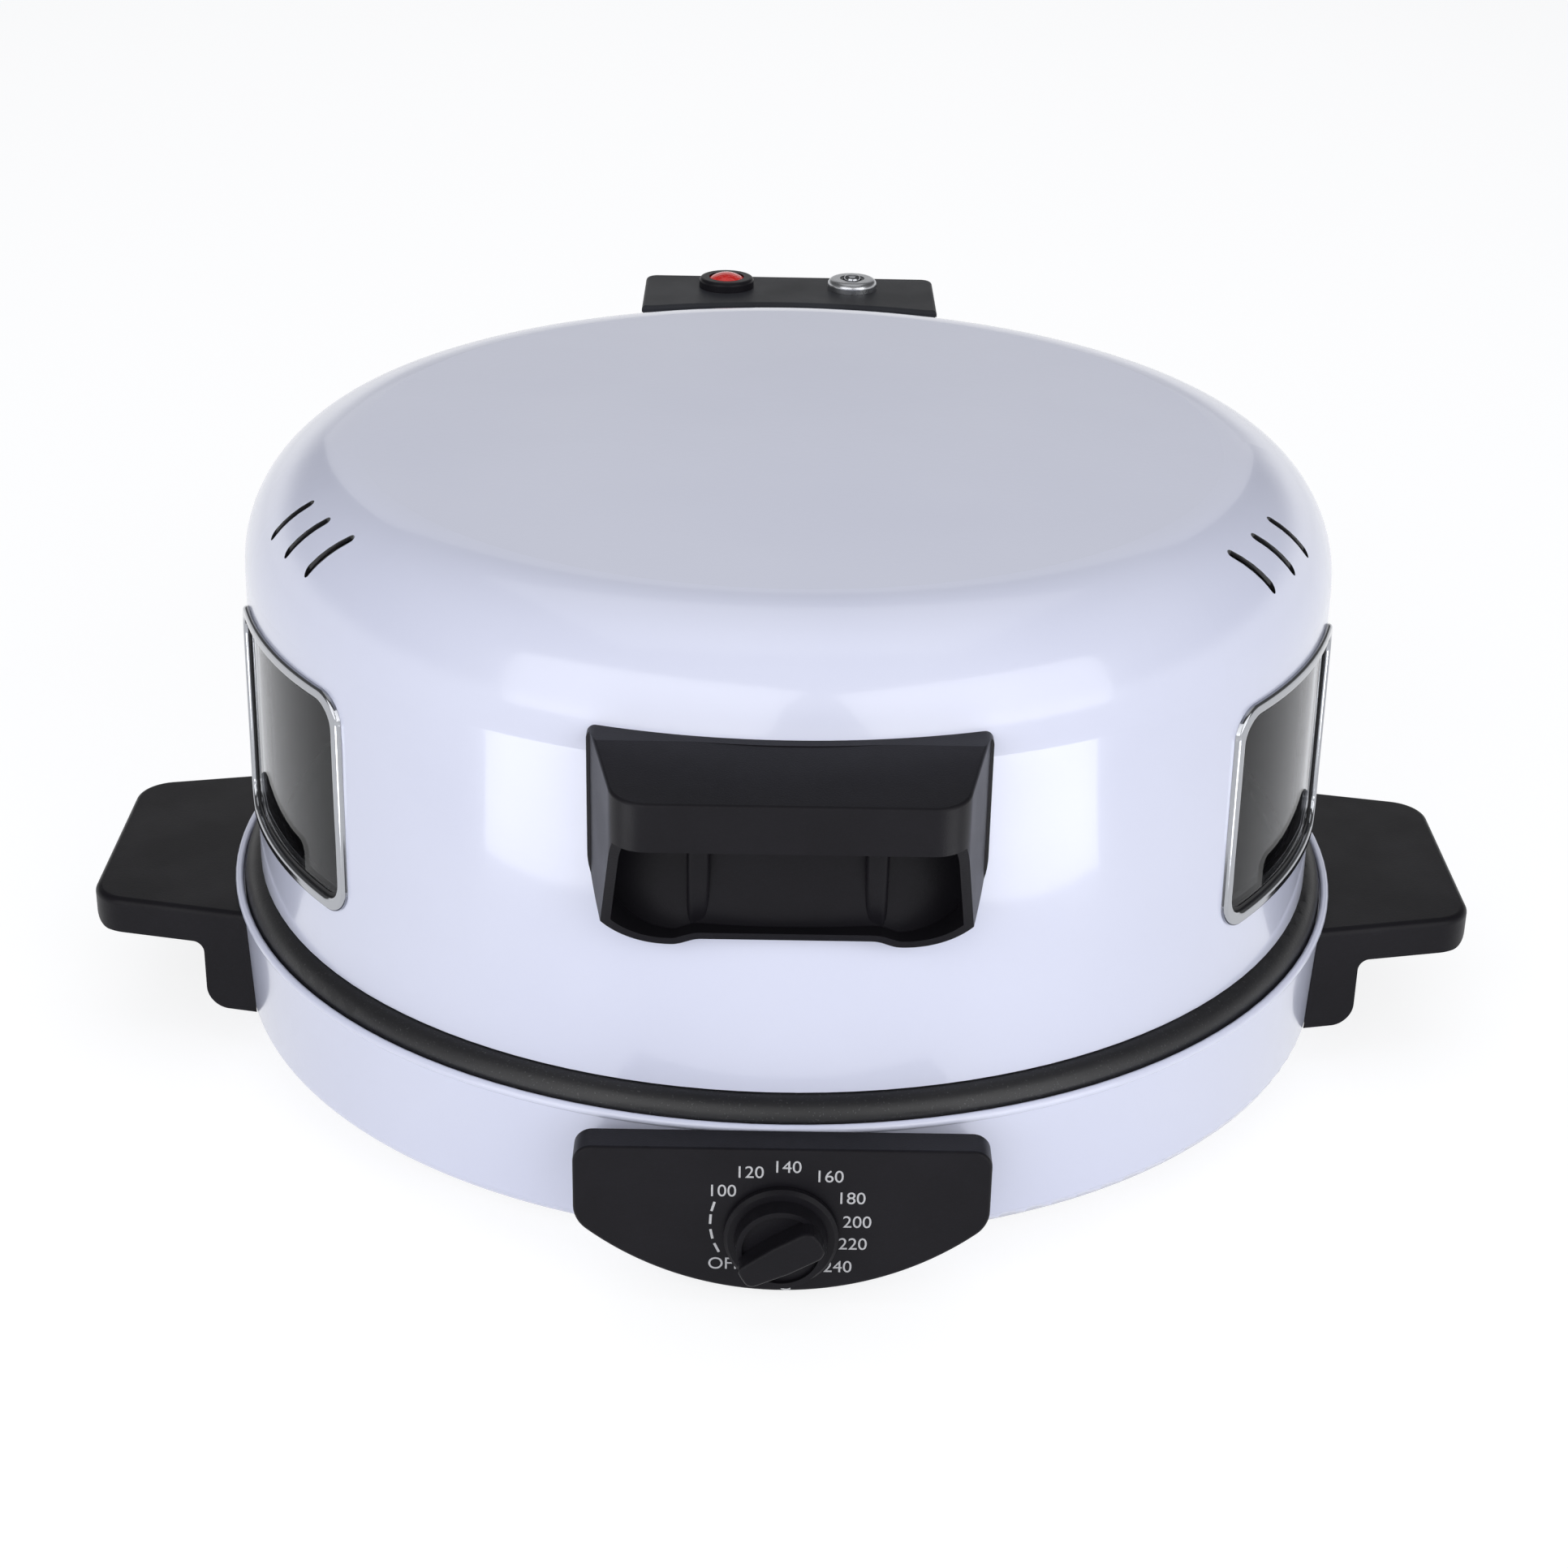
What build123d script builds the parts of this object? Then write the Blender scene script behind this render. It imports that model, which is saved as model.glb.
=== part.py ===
# Countertop flat bread cooker with a round hinged lid, a front thermostat and a rear control tower.
# Millimetres. The origin is on the table in the middle of the footprint, the front faces -Y,
# the right-hand side is +X and +Z is up. Every piece is drawn round the axis of the round lid
# and moved to the footprint's middle when it is written.
import os
from math import asin, cos, degrees, hypot, radians, sin, sqrt, tan

from build123d import *

# Round tub
WALL_TOP_R = 204.0
WALL_TAPER = 2.0
TUB_BOTTOM = 13.0
TUB_TOP = 57.0
TUB_SHEET = 1.2
TUB_CORNER_R = 3.5
TUB_LIP_WIDTH = 12.0
BEAD_R = 1.5
BEAD_STAND = 1.2
LEDGE_WIDTH = 7.0
LEDGE_DROP = 1.8

# Plate that closes the tub from below
PLATE_SHEET = 1.0
PLATE_OVERLAP = 7.6
PLATE_SCREW_COUNT = 6
PLATE_SLOT_LENGTH = 34.0
PLATE_SLOT_WIDTH = 4.0
PLATE_SLOT_COUNT = 24
PLATE_SLOT_PITCH_R = 110.0

# Feet
FOOT_PITCH_R = 164.0
FOOT_COUNT = 4
FOOT_ANGLE = 45.0
FOOT_R = 13.0
FOOT_TOP_R = 11.0
FOOT_EDGE_R = 1.5
FOOT_RECESS_R = 6.0
FOOT_RECESS_DEPTH = 6.0
FOOT_NUT_ACROSS = 7.0
FOOT_NUT_THICKNESS = 3.0

# Baking pan
PAN_SHEET = 1.5
PAN_RIM_RISE = 8.2
PAN_RIM_LEAN = 1.2
PAN_RIM_WIDTH = 11.4
PAN_RIM_CREST = 1.8
PAN_RIM_CORNER_R = 7.0
PAN_CREST_R = 3.5
PAN_DEPTH = 29.0
PAN_SIDE_LEAN = 10.6
PAN_CORNER_R = 8.0

# Heating elements, their clips and the sheet under the lower one
TUBE_R = 3.5
TUBE_BEND_R = 14.0
TUBE_HALF_SPREAD = 18.0
TERMINAL_R = 1.6
LOWER_TERMINAL = 9.0
UPPER_TERMINAL = 2.5
LOWER_RING_R = 112.0
LOWER_RING_LIFT = 7.6
LOWER_END_GAP = 15.0
UPPER_RING_R = 118.0
UPPER_RING_DROP = 17.0
UPPER_END_GAP = 11.0
CLIP_SHEET = 0.8
CLIP_WIDTH = 9.0
CLIP_TAB = 10.0
CLIP_BEND_R = 1.2
CLIP_ANGLES = (0.0, 115.0, 245.0)
REFLECTOR_SHEET = 0.8
REFLECTOR_EDGE_GAP = 5.3
REFLECTOR_RISE = 3.4
REFLECTOR_SLOPE = 7.0
REFLECTOR_LIP = 5.0
REFLECTOR_BEND_R = 4.0
SPACER_R = 5.0
SPACER_HEIGHT = 3.4
SPACER_PITCH_R = 142.0
SPACER_COUNT = 3

# Round lid and its inner lining
LID_INSET = 8.6
LID_HEIGHT = 156.9
LID_SHEET = 1.2
LID_DRAFT = 0.5
LID_SHOULDER_R = 42.0
LID_DOME_R = 8000.0
LINER_SHEET = 0.8
LINER_GAP = 5.2
LINER_LIFT = 4.6
LINER_HEM = 8.0
LINER_HEM_R = 1.2
LINER_SHOULDER_R = 38.0
LINER_TOP_GAP = 8.0

# Steam vents in the shoulders of the lid
VENT_COUNT = 3
VENT_FIRST_Y = -66.0
VENT_PITCH = 16.5
VENT_WIDTH = 3.4
VENT_EDGE_GAP = 7.6
VENT_LENGTH = 14.3
VENT_DEPTH = 31.5
VENT_LINER_SHIFT = 9.0

# Side windows
WINDOW_ANGLE = 63.0
WINDOW_WIDTH = 98.5
WINDOW_HEIGHT = 81.0
WINDOW_RISE = 65.0
WINDOW_CORNER_R = 10.5
FRAME_BAR = 4.2
FRAME_PROUD = 1.9
FRAME_EDGE_R = 1.3
FRAME_LIP = 1.2
FRAME_INWARD = 2.6
GASKET_BAR = 1.6
GASKET_LIP = 2.0
GASKET_SINK = 0.1
GASKET_INWARD = 4.0
GLASS_THICKNESS = 2.6
GLASS_SINK = 0.4

# Front lid handle
GRIP_HALF_WIDTH = 62.0
GRIP_RISE = 122.4
GRIP_HEIGHT = 67.0
GRIP_NOTCH_RISE = 2.8
GRIP_NOTCH_HALF_WIDTH = 28.0
GRIP_NOTCH_SLOPE = 6.0
GRIP_NOTCH_R = 8.0
GRIP_TOP_CORNER_R = 3.0
GRIP_PLATE = 3.2
GRIP_RIM = 1.0
GRIP_LIP_INSET = 10.5
GRIP_REACH = 36.0
GRIP_LIP_HEIGHT = 15.5
GRIP_LIP_STEP = 6.0
GRIP_SHELF_DROP = 4.0
GRIP_WALL = 3.0
GRIP_CORNER_R = 12.0
GRIP_EDGE_R = 1.0
GRIP_RIB_X = 27.5
GRIP_RIB_WIDTH = 7.0
GRIP_RIB_DEPTH = 9.0
GRIP_RIB_EDGE_R = 2.0
GRIP_SCREW_DROP = 32.0
GRIP_SCREW_REACH = 8.0

# Side handles
SIDE_REACH = 49.5
SIDE_HALF_WIDTH = 62.5
SIDE_TAPER = 14.0
SIDE_CORNER_R = 15.0
SIDE_TOP_DROP = 2.0
SIDE_THICKNESS = 13.5
SIDE_LEG_DEPTH = 7.0
SIDE_LEG_RISE = 2.0
SIDE_LEG_CORNER_R = 8.0
SIDE_INNER_CORNER_R = 4.0
SIDE_LOW_CORNER_R = 6.0
SIDE_EDGE_R = 2.5
SIDE_WALL = 3.0
SIDE_SCREW_Y = 32.0
SIDE_SCREW_RISE = 14.0
SIDE_SCREW_REACH = 6.0

# Control panel
PANEL_HALF_WIDTH = 66.0
PANEL_RISE = 1.4
PANEL_SIDE_HEIGHT = 27.4
PANEL_HEIGHT = 53.4
PANEL_STAND = 14.0
PANEL_DEPTH = 11.0
PANEL_WALL = 2.5
PANEL_TOP_CORNER_R = 6.0
PANEL_LOW_CORNER_R = 11.0
PANEL_EDGE_R = 1.2
PANEL_NECK_INSET = 5.0
PANEL_NECK_DROP = 9.0
PANEL_BOSS_X = 42.0
PANEL_BOSS_DROP = 24.4
PANEL_BOSS_R = 4.5
PANEL_SCREW_REACH = 9.0

# Thermostat and its knob
KNOB_DROP = 31.4
STAT_WIDTH = 28.0
STAT_DEPTH = 14.0
STAT_HEIGHT = 22.0
STAT_COLLAR_R = 8.0
STAT_COLLAR = 1.6
STAT_BUSH_R = 5.0
STAT_BUSH_LENGTH = 10.5
STAT_TAB_SHEET = 0.8
STAT_TAB_WIDTH = 6.3
STAT_TAB_LENGTH = 8.0
STAT_NUT_ACROSS = 13.0
STAT_NUT_THICKNESS = 3.0
SHAFT_R = 3.0
SHAFT_FLAT = 0.8
SHAFT_DEPTH = 12.0
SHAFT_IN_KNOB = 11.0
KNOB_SKIRT_R = 18.2
KNOB_SKIRT = 2.8
KNOB_SKIRT_BEVEL = 1.2
KNOB_BODY_R = 15.2
KNOB_BODY_TOP_R = 14.2
KNOB_BODY_DEPTH = 8.5
KNOB_DISH_R = 12.4
KNOB_DISH = 1.5
KNOB_BAR_WIDTH = 11.0
KNOB_BAR_TIP_WIDTH = 8.0
KNOB_BAR_TAIL_R = 4.0
KNOB_BAR_WAIST_R = 14.0
KNOB_BAR_TIP_R = 3.0
KNOB_BAR_EDGE_R = 1.2
KNOB_DEPTH = 15.0
KNOB_PANEL_GAP = 0.8
KNOB_REST_ANGLE = -120.0

# Rear tower
TOWER_HALF_WIDTH = 62.0
TOWER_STAND = 8.6
TOWER_DEPTH = 40.4
TOWER_RISE = 10.0
TOWER_WALL = 2.6
TOWER_VISOR = 1.5
TOWER_CORNER_R = 5.0
TOWER_EDGE_R = 1.5
TOWER_NECK_HALF_WIDTH = 50.0
TOWER_NECK_HEIGHT = 39.0
TOWER_SCREW_X = 34.0
TOWER_SCREW_RISE = 21.0
TOWER_SCREW_REACH = 8.0
COVER_SHEET = 2.2
COVER_REBATE = 1.3
COVER_INSET = 1.9
COVER_SCREW_INSET = 8.5
COVER_BOSS_R = 4.0
COVER_SCREW_LENGTH = 12.0

# Lamp and switch on the tower
CONTROL_SET = 23.4
CONTROL_X = 27.0
LAMP_R = 11.7
LAMP_HEIGHT = 4.2
LAMP_EDGE_R = 1.6
LAMP_NECK_R = 8.8
LAMP_NECK_DEPTH = 16.0
LAMP_FLOOR = 2.0
LENS_R = 7.5
LENS_RISE = 2.6
SWITCH_BUSH_R = 5.2
SWITCH_BUSH_RISE = 4.0
SWITCH_RING_R = 10.5
SWITCH_RING_HEIGHT = 4.4
SWITCH_RING_EDGE_R = 2.6
SWITCH_WIDTH = 26.0
SWITCH_LENGTH = 20.0
SWITCH_HEIGHT = 22.0
BUTTON_R = 3.7
BUTTON_RISE = 6.2
BUTTON_EDGE_R = 2.4
BUTTON_DEPTH = 8.0
BUTTON_TRAVEL = 2.0

# Lid hinge
HINGE_STAND = 2.6
HINGE_DROP = 23.0
HINGE_X = 47.0
PIN_R = 2.5
PIN_HEAD_R = 4.0
PIN_HEAD = 1.4
PIN_END_R = 3.4
KNUCKLE_R = 5.5
KNUCKLE_WIDTH = 8.0
EAR_SHEET = 2.5
EAR_BASE_SHEET = 2.0
EAR_BASE_HALF_WIDTH = 9.0
EAR_BASE_RISE = 6.0
EAR_BASE_DROP = 28.0
EAR_FOOT_DROP = 14.0
EAR_SCREW_X = 5.0
EAR_SCREW_DROP = 22.0
EAR_SCREW_LENGTH = 8.0
EAR_BOSS_R = 3.4
PAD_HALF_WIDTH = 13.0
PAD_DROP = 28.0
PAD_HEIGHT = 44.0
PAD_SHEET = 2.0
ARM_DEPTH = 8.5
ARM_TURN = 20.0
RIVET_X = 9.3
RIVET_INSET = 7.0
RIVET_R = 1.8
RIVET_HEAD_R = 3.2
RIVET_HEAD = 1.5

# Bushes for the wiring
BUSH_R = 6.0
BUSH_FLANGE_R = 9.0
BUSH_FLANGE = 2.0
BUSH_INWARD = 2.0
BUSH_BORE_R = 3.2
WIRE_BUSH_DROP = 48.0
GLAND_INSET = 19.0
GLAND_RISE = 21.0
GLAND_LENGTH = 12.0
GLAND_TIP_R = 4.6

# Screws
M4_R = 2.0
M4_HEAD_R = 3.8
M4_HEAD = 2.4
M3_R = 1.5
M3_HEAD_R = 2.9
M3_HEAD = 1.8
CROSS_WIDTH = 0.8
CROSS_DEPTH = 1.0
CROSS_EDGE = 1.3

# Clearances
RUNNING_GAP = 0.05
SEAT_GAP = 0.05
FIT_GAP = 0.15
BODY_GAP = 0.3
HOLE_GAP = 0.3

# Tub, plate and pan heights and radii
WALL_FOOT_R = WALL_TOP_R - WALL_TAPER
LEDGE_Z = TUB_TOP - LEDGE_DROP
BEAD_CENTRE_R = WALL_TOP_R + BEAD_STAND - BEAD_R
PLATE_Z = TUB_BOTTOM + TUB_SHEET + SEAT_GAP
PLATE_R = WALL_FOOT_R - TUB_LIP_WIDTH + PLATE_OVERLAP
PLATE_SCREW_R = WALL_FOOT_R - TUB_LIP_WIDTH + PLATE_OVERLAP / 2
SPACER_Z = PLATE_Z + PLATE_SHEET + SEAT_GAP
REFLECTOR_Z = SPACER_Z + SPACER_HEIGHT + SEAT_GAP
LOWER_RING_Z = REFLECTOR_Z + REFLECTOR_SHEET + LOWER_RING_LIFT
LOWER_REACH = WALL_FOOT_R - LOWER_END_GAP
PAN_OUTER_R = BEAD_CENTRE_R - BEAD_R - BODY_GAP - PAN_SHEET / 2
PAN_LOW = LEDGE_Z + SEAT_GAP + PAN_SHEET * PAN_RIM_LEAN / PAN_RIM_RISE / 2
PAN_EDGE_Z = PAN_LOW + PAN_RIM_RISE
PAN_EDGE_R = PAN_OUTER_R - PAN_RIM_LEAN
RIM_SLOPE = PAN_RIM_CREST / PAN_RIM_WIDTH

# Lid heights and radii
LID_R = WALL_TOP_R - LID_INSET
LID_BOTTOM = PAN_EDGE_Z + (PAN_EDGE_R - LID_R + LID_SHEET) * RIM_SLOPE + PAN_SHEET / 2 + BODY_GAP
LID_TOP = LID_BOTTOM + LID_HEIGHT
LINER_TOP = LID_TOP - LID_SHEET - LINER_TOP_GAP
UPPER_RING_Z = LINER_TOP - LINER_SHEET - UPPER_RING_DROP
UPPER_REACH = LID_R - UPPER_END_GAP
WINDOW_Z = LID_BOTTOM + WINDOW_RISE
WINDOW_INNER_WIDTH = WINDOW_WIDTH - 2 * FRAME_BAR
WINDOW_INNER_HEIGHT = WINDOW_HEIGHT - 2 * FRAME_BAR
WINDOW_INNER_CORNER_R = WINDOW_CORNER_R - FRAME_BAR / 2
GRIP_TOP = LID_BOTTOM + GRIP_RISE
GRIP_BOTTOM = GRIP_TOP - GRIP_HEIGHT
GRIP_FRONT = LID_R + GRIP_REACH
GRIP_SCREW_Z = GRIP_TOP - GRIP_SCREW_DROP

# Places of the handles, panel, tower and hinge
SIDE_OUT = WALL_TOP_R + SIDE_REACH
SIDE_LEG_OUT = WALL_TOP_R + SIDE_LEG_DEPTH
SIDE_TOP = TUB_TOP - SIDE_TOP_DROP
SIDE_BOTTOM = SIDE_TOP - SIDE_THICKNESS
SIDE_SCREW_Z = TUB_BOTTOM + SIDE_SCREW_RISE
PANEL_TOP = TUB_TOP + PANEL_RISE
PANEL_FRONT = WALL_TOP_R + PANEL_STAND
PANEL_BACK = PANEL_FRONT - PANEL_DEPTH
PANEL_BOSS_Z = PANEL_TOP - PANEL_BOSS_DROP
KNOB_Z = PANEL_TOP - KNOB_DROP
HINGE_Y = LID_R + HINGE_STAND
HINGE_Z = LID_TOP - HINGE_DROP
EAR_GAP = KNUCKLE_WIDTH / 2 + BODY_GAP
PAD_TOP = HINGE_Z - PAD_DROP
PAD_BOTTOM = PAD_TOP - PAD_HEIGHT
WIRE_BUSH_Z = HINGE_Z - WIRE_BUSH_DROP
TOWER_FRONT = HINGE_Y + TOWER_STAND
TOWER_BACK = TOWER_FRONT + TOWER_DEPTH
TOWER_TOP = HINGE_Z + TOWER_RISE
TOWER_BOTTOM = TUB_BOTTOM
TOWER_SCREW_Z = TOWER_BOTTOM + TOWER_SCREW_RISE
EAR_SCREW_Z = HINGE_Z - EAR_SCREW_DROP
CONTROL_Y = TOWER_FRONT + CONTROL_SET
GLAND_Y = TOWER_BACK - GLAND_INSET
GLAND_Z = TOWER_BOTTOM + GLAND_RISE

# Place of the lid's axis in front of the footprint's middle
KNOB_BACK = PANEL_FRONT + KNOB_PANEL_GAP
LID_AXIS_Y = (KNOB_BACK + KNOB_DEPTH - TOWER_BACK) / 2


def lean(a, b):
    """Unit vector from one flat point to another."""
    length = hypot(b[0] - a[0], b[1] - a[1])
    return ((b[0] - a[0]) / length, (b[1] - a[1]) / length)


def beside(points, shift):
    """The corners of a line drawn beside the given one, the shift to its left."""
    moved = []
    for i, (x, y) in enumerate(points):
        ways = []
        if i > 0:
            ways.append(lean(points[i - 1], points[i]))
        if i < len(points) - 1:
            ways.append(lean(points[i], points[i + 1]))
        nx = -sum(way[1] for way in ways)
        ny = sum(way[0] for way in ways)
        scale = shift / (nx * -ways[0][1] + ny * ways[0][0])
        moved.append((x + nx * scale, y + ny * scale))
    return moved


def bend_side(a, b, c):
    """1 where the line a, b, c bends to the left and -1 where it bends to the right."""
    left = (b[0] - a[0]) * (c[1] - b[1]) > (b[1] - a[1]) * (c[0] - b[0])
    return 1 if left else -1


def strip(points, radii, sheet):
    """Section of bent sheet along a line of corners, with the bend radii at its middle."""
    sides = [bend_side(*points[i : i + 3]) for i in range(len(radii))]
    left_bends = [max(r - side * sheet / 2, 0) for r, side in zip(radii, sides)]
    right_bends = [max(r + side * sheet / 2, 0) for r, side in zip(radii, sides)]
    ring = beside(points, sheet / 2) + beside(points, -sheet / 2)[::-1]
    bends = [0, *left_bends, 0, 0, *right_bends[::-1], 0]
    return make_face(FilletPolyline(*ring, radius=bends, close=True))


def turned(section):
    """Solid of revolution about the lid's axis from a section drawn as radius and height."""
    return revolve(Plane.XZ * section, Axis.Z, 360)


def aimed(x, y, z, way):
    """Plane at a point, facing a way."""
    return Plane(origin=(x, y, z), z_dir=way)


def facing_front(y, x=0.0, z=0.0):
    """Upright plane that faces the front, with x to the right and height upwards."""
    return Plane(origin=(x, y, z), x_dir=(1, 0, 0), z_dir=(0, -1, 0))


def facing_right(x):
    """Upright plane that faces the right, drawn as depth and height."""
    return Plane(origin=(x, 0, 0), x_dir=(0, 1, 0), z_dir=(1, 0, 0))


def outward(angle, z, radius=0.0):
    """Plane that faces out from the lid's axis, at an angle from the front towards the right."""
    way = (sin(radians(angle)), -cos(radians(angle)), 0)
    side = (cos(radians(angle)), sin(radians(angle)), 0)
    return Plane(origin=(radius * way[0], radius * way[1], z), x_dir=side, z_dir=way)


def post(radius, bottom, top, x=0.0, y=0.0):
    """Cylinder along Z."""
    return Pos(x, y, bottom) * extrude(Circle(radius), top - bottom)


def rod_x(radius, x0, x1, y, z):
    """Cylinder along X."""
    return aimed(x0, y, z, (1, 0, 0)) * extrude(Circle(radius), x1 - x0)


def rod_y(radius, y0, y1, x, z):
    """Cylinder along Y."""
    return aimed(x, y0, z, (0, 1, 0)) * extrude(Circle(radius), y1 - y0)


def block(x0, x1, y0, y1, z0, z1):
    """Box between two corners."""
    return Pos((x0 + x1) / 2, (y0 + y1) / 2, (z0 + z1) / 2) * Box(x1 - x0, y1 - y0, z1 - z0)


def mirrored(solid):
    """The same piece on the other side of the machine."""
    return mirror(solid, Plane.YZ)


def screw(radius, head_radius, head, length):
    """Cross-head screw that points along +Z, with its head just under the origin."""
    body = Pos(0, 0, -head) * extrude(Circle(head_radius), head) + extrude(Circle(radius), length)
    long = 2 * (head_radius - CROSS_EDGE)
    cross = Rectangle(long, CROSS_WIDTH) + Rectangle(CROSS_WIDTH, long)
    return body - Pos(0, 0, -head) * extrude(cross, CROSS_DEPTH)


def m4_screw(length):
    return screw(M4_R, M4_HEAD_R, M4_HEAD, length)


def m3_screw(length):
    return screw(M3_R, M3_HEAD_R, M3_HEAD, length)


def hex_nut(across, thickness, bore):
    """Hexagon nut standing on the origin."""
    return extrude(RegularPolygon(across / 2, 6, major_radius=False) - Circle(bore), thickness)


def tub_outer_r(z):
    """Outside radius of the drafted tub wall at a height."""
    return WALL_FOOT_R + (WALL_TOP_R - WALL_FOOT_R) * (z - TUB_BOTTOM) / (TUB_TOP - TUB_BOTTOM)


def tub_inner_r(z):
    return tub_outer_r(z) - TUB_SHEET


def tub_outside(gap):
    """All that lies within the tub's outside, grown by a gap, to cut what leans on it."""
    low = -TUB_BOTTOM
    bead_low = TUB_TOP - BEAD_R - gap
    bead_top = TUB_TOP + BEAD_R + gap
    bead_out = WALL_TOP_R + BEAD_STAND + gap
    corners = [
        (0, low),
        (tub_outer_r(low) + gap, low),
        (tub_outer_r(bead_low) + gap, bead_low),
        (bead_out, bead_low),
        (bead_out, bead_top),
        (0, bead_top),
    ]
    return turned(make_face(Polyline(*corners, close=True)))


def lid_outer_r(z):
    """Outside radius of the drafted lid wall at a height."""
    return LID_R - (z - LID_BOTTOM) * tan(radians(LID_DRAFT))


def lid_ring(inner, outer, z0, z1):
    """Ring that follows the lid wall, between two distances outside it."""
    corners = [
        (lid_outer_r(z0) + inner, z0),
        (lid_outer_r(z0) + outer, z0),
        (lid_outer_r(z1) + outer, z1),
        (lid_outer_r(z1) + inner, z1),
    ]
    return turned(make_face(Polyline(*corners, close=True)))


def lid_filled(inset, bottom):
    """The lid as a full body, moved inwards by an inset: drafted wall, shoulder and slight dome."""
    dome = LID_DOME_R - inset
    edge_z = LID_TOP - inset - LID_R**2 / (2 * dome)
    edge_r = lid_outer_r(edge_z) - inset
    reach = degrees(asin(edge_r / dome))
    arc = CenterArc((0, LID_TOP - LID_DOME_R), dome, 90 - reach, reach)
    foot = (lid_outer_r(bottom) - inset, bottom)
    sides = [Line((0, bottom), foot), Line(foot, arc @ 0), Line(arc @ 1, (0, bottom))]
    face = make_face([*sides, arc])
    corner = [v for v in face.vertices() if v.X > edge_r - SEAT_GAP and v.Y > bottom + SEAT_GAP]
    return turned(fillet(corner, LID_SHOULDER_R - inset))


def window_blank(width, height, corner, side):
    """Rounded window shape cut outwards from the lid's axis."""
    shape = RectangleRounded(width, height, corner)
    return outward(side * WINDOW_ANGLE, WINDOW_Z) * extrude(shape, LID_R + 2 * FRAME_PROUD)


def window_inner(grow, side):
    """The window's clear opening, grown all round."""
    width = WINDOW_INNER_WIDTH + 2 * grow
    height = WINDOW_INNER_HEIGHT + 2 * grow
    return window_blank(width, height, WINDOW_INNER_CORNER_R + grow, side)


def window_ring(inner, outer):
    """Ring along the lid wall, tall enough for the windows."""
    half = WINDOW_HEIGHT / 2 + FRAME_BAR
    return lid_ring(inner, outer, WINDOW_Z - half, WINDOW_Z + half)


def round_axis(radius, count, first, piece):
    """Evenly spaced copies of a piece around the lid's axis, from a first angle."""
    step = 360 / count
    return Compound([Rot(0, 0, first + i * step) * Pos(radius, 0, 0) * piece for i in range(count)])


def base_shell():
    lip_z = TUB_BOTTOM + TUB_SHEET / 2
    corners = [
        (WALL_FOOT_R - TUB_LIP_WIDTH, lip_z),
        (WALL_FOOT_R - TUB_SHEET / 2, lip_z),
        (WALL_TOP_R - TUB_SHEET / 2, TUB_TOP),
    ]
    wall = strip(corners, [TUB_CORNER_R], TUB_SHEET)
    bead = Pos(BEAD_CENTRE_R, TUB_TOP) * Circle(BEAD_R)
    ledge_in = WALL_TOP_R - TUB_SHEET - LEDGE_WIDTH
    ledge_out = tub_outer_r(LEDGE_Z) - TUB_SHEET / 2
    ledge_shape = Rectangle(ledge_out - ledge_in, TUB_SHEET)
    ledge = Pos((ledge_in + ledge_out) / 2, LEDGE_Z - TUB_SHEET / 2) * ledge_shape
    shell = turned(wall + bead + ledge)
    inside = WALL_FOOT_R - TUB_LIP_WIDTH
    out = WALL_TOP_R
    holes = [rod_y(STAT_BUSH_R + HOLE_GAP, -out, -inside, 0, KNOB_Z)]
    for s in (-1, 1):
        holes.append(rod_y(M3_R + HOLE_GAP, -out, -inside, s * PANEL_BOSS_X, PANEL_BOSS_Z))
        holes.append(rod_y(M4_R + HOLE_GAP, inside, out, s * TOWER_SCREW_X, TOWER_SCREW_Z))
        holes.append(rod_x(M4_R + HOLE_GAP, inside, out, s * SIDE_SCREW_Y, SIDE_SCREW_Z))
        holes.append(rod_x(M4_R + HOLE_GAP, -out, -inside, s * SIDE_SCREW_Y, SIDE_SCREW_Z))
    holes += round_axis(PLATE_SCREW_R, PLATE_SCREW_COUNT, 0, post(M3_R + HOLE_GAP, 0, PLATE_Z))
    return shell - holes


def base_plate():
    plate = post(PLATE_R, PLATE_Z, PLATE_Z + PLATE_SHEET)
    slot = SlotOverall(PLATE_SLOT_LENGTH, PLATE_SLOT_WIDTH)
    cuts = Pos(0, 0, PLATE_Z) * extrude(slot, PLATE_SHEET)
    plate -= round_axis(PLATE_SLOT_PITCH_R, PLATE_SLOT_COUNT, 180 / PLATE_SLOT_COUNT, cuts)
    plate -= round_axis(PLATE_SCREW_R, PLATE_SCREW_COUNT, 0, post(M3_R + FIT_GAP, 0, SPACER_Z))
    plate -= round_axis(FOOT_PITCH_R, FOOT_COUNT, FOOT_ANGLE, post(M4_R + FIT_GAP, 0, SPACER_Z))
    plate -= round_axis(SPACER_PITCH_R, SPACER_COUNT, 90, post(M3_R + FIT_GAP, 0, SPACER_Z))
    return plate


def base_plate_screws():
    one = Pos(0, 0, TUB_BOTTOM - SEAT_GAP) * m3_screw(PLATE_Z + PLATE_SHEET - TUB_BOTTOM + M3_HEAD)
    return round_axis(PLATE_SCREW_R, PLATE_SCREW_COUNT, 0, one)


def foot(angle):
    corners = [(0, 0), (FOOT_R, 0), (FOOT_TOP_R, PLATE_Z - SEAT_GAP), (0, PLATE_Z - SEAT_GAP)]
    body = turned(make_face(FilletPolyline(*corners, radius=[0, FOOT_EDGE_R, 0, 0], close=True)))
    body -= post(FOOT_RECESS_R, 0, FOOT_RECESS_DEPTH)
    body -= post(M4_R + FIT_GAP, 0, PLATE_Z)
    return Rot(0, 0, angle) * Pos(FOOT_PITCH_R, 0, 0) * body


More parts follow.
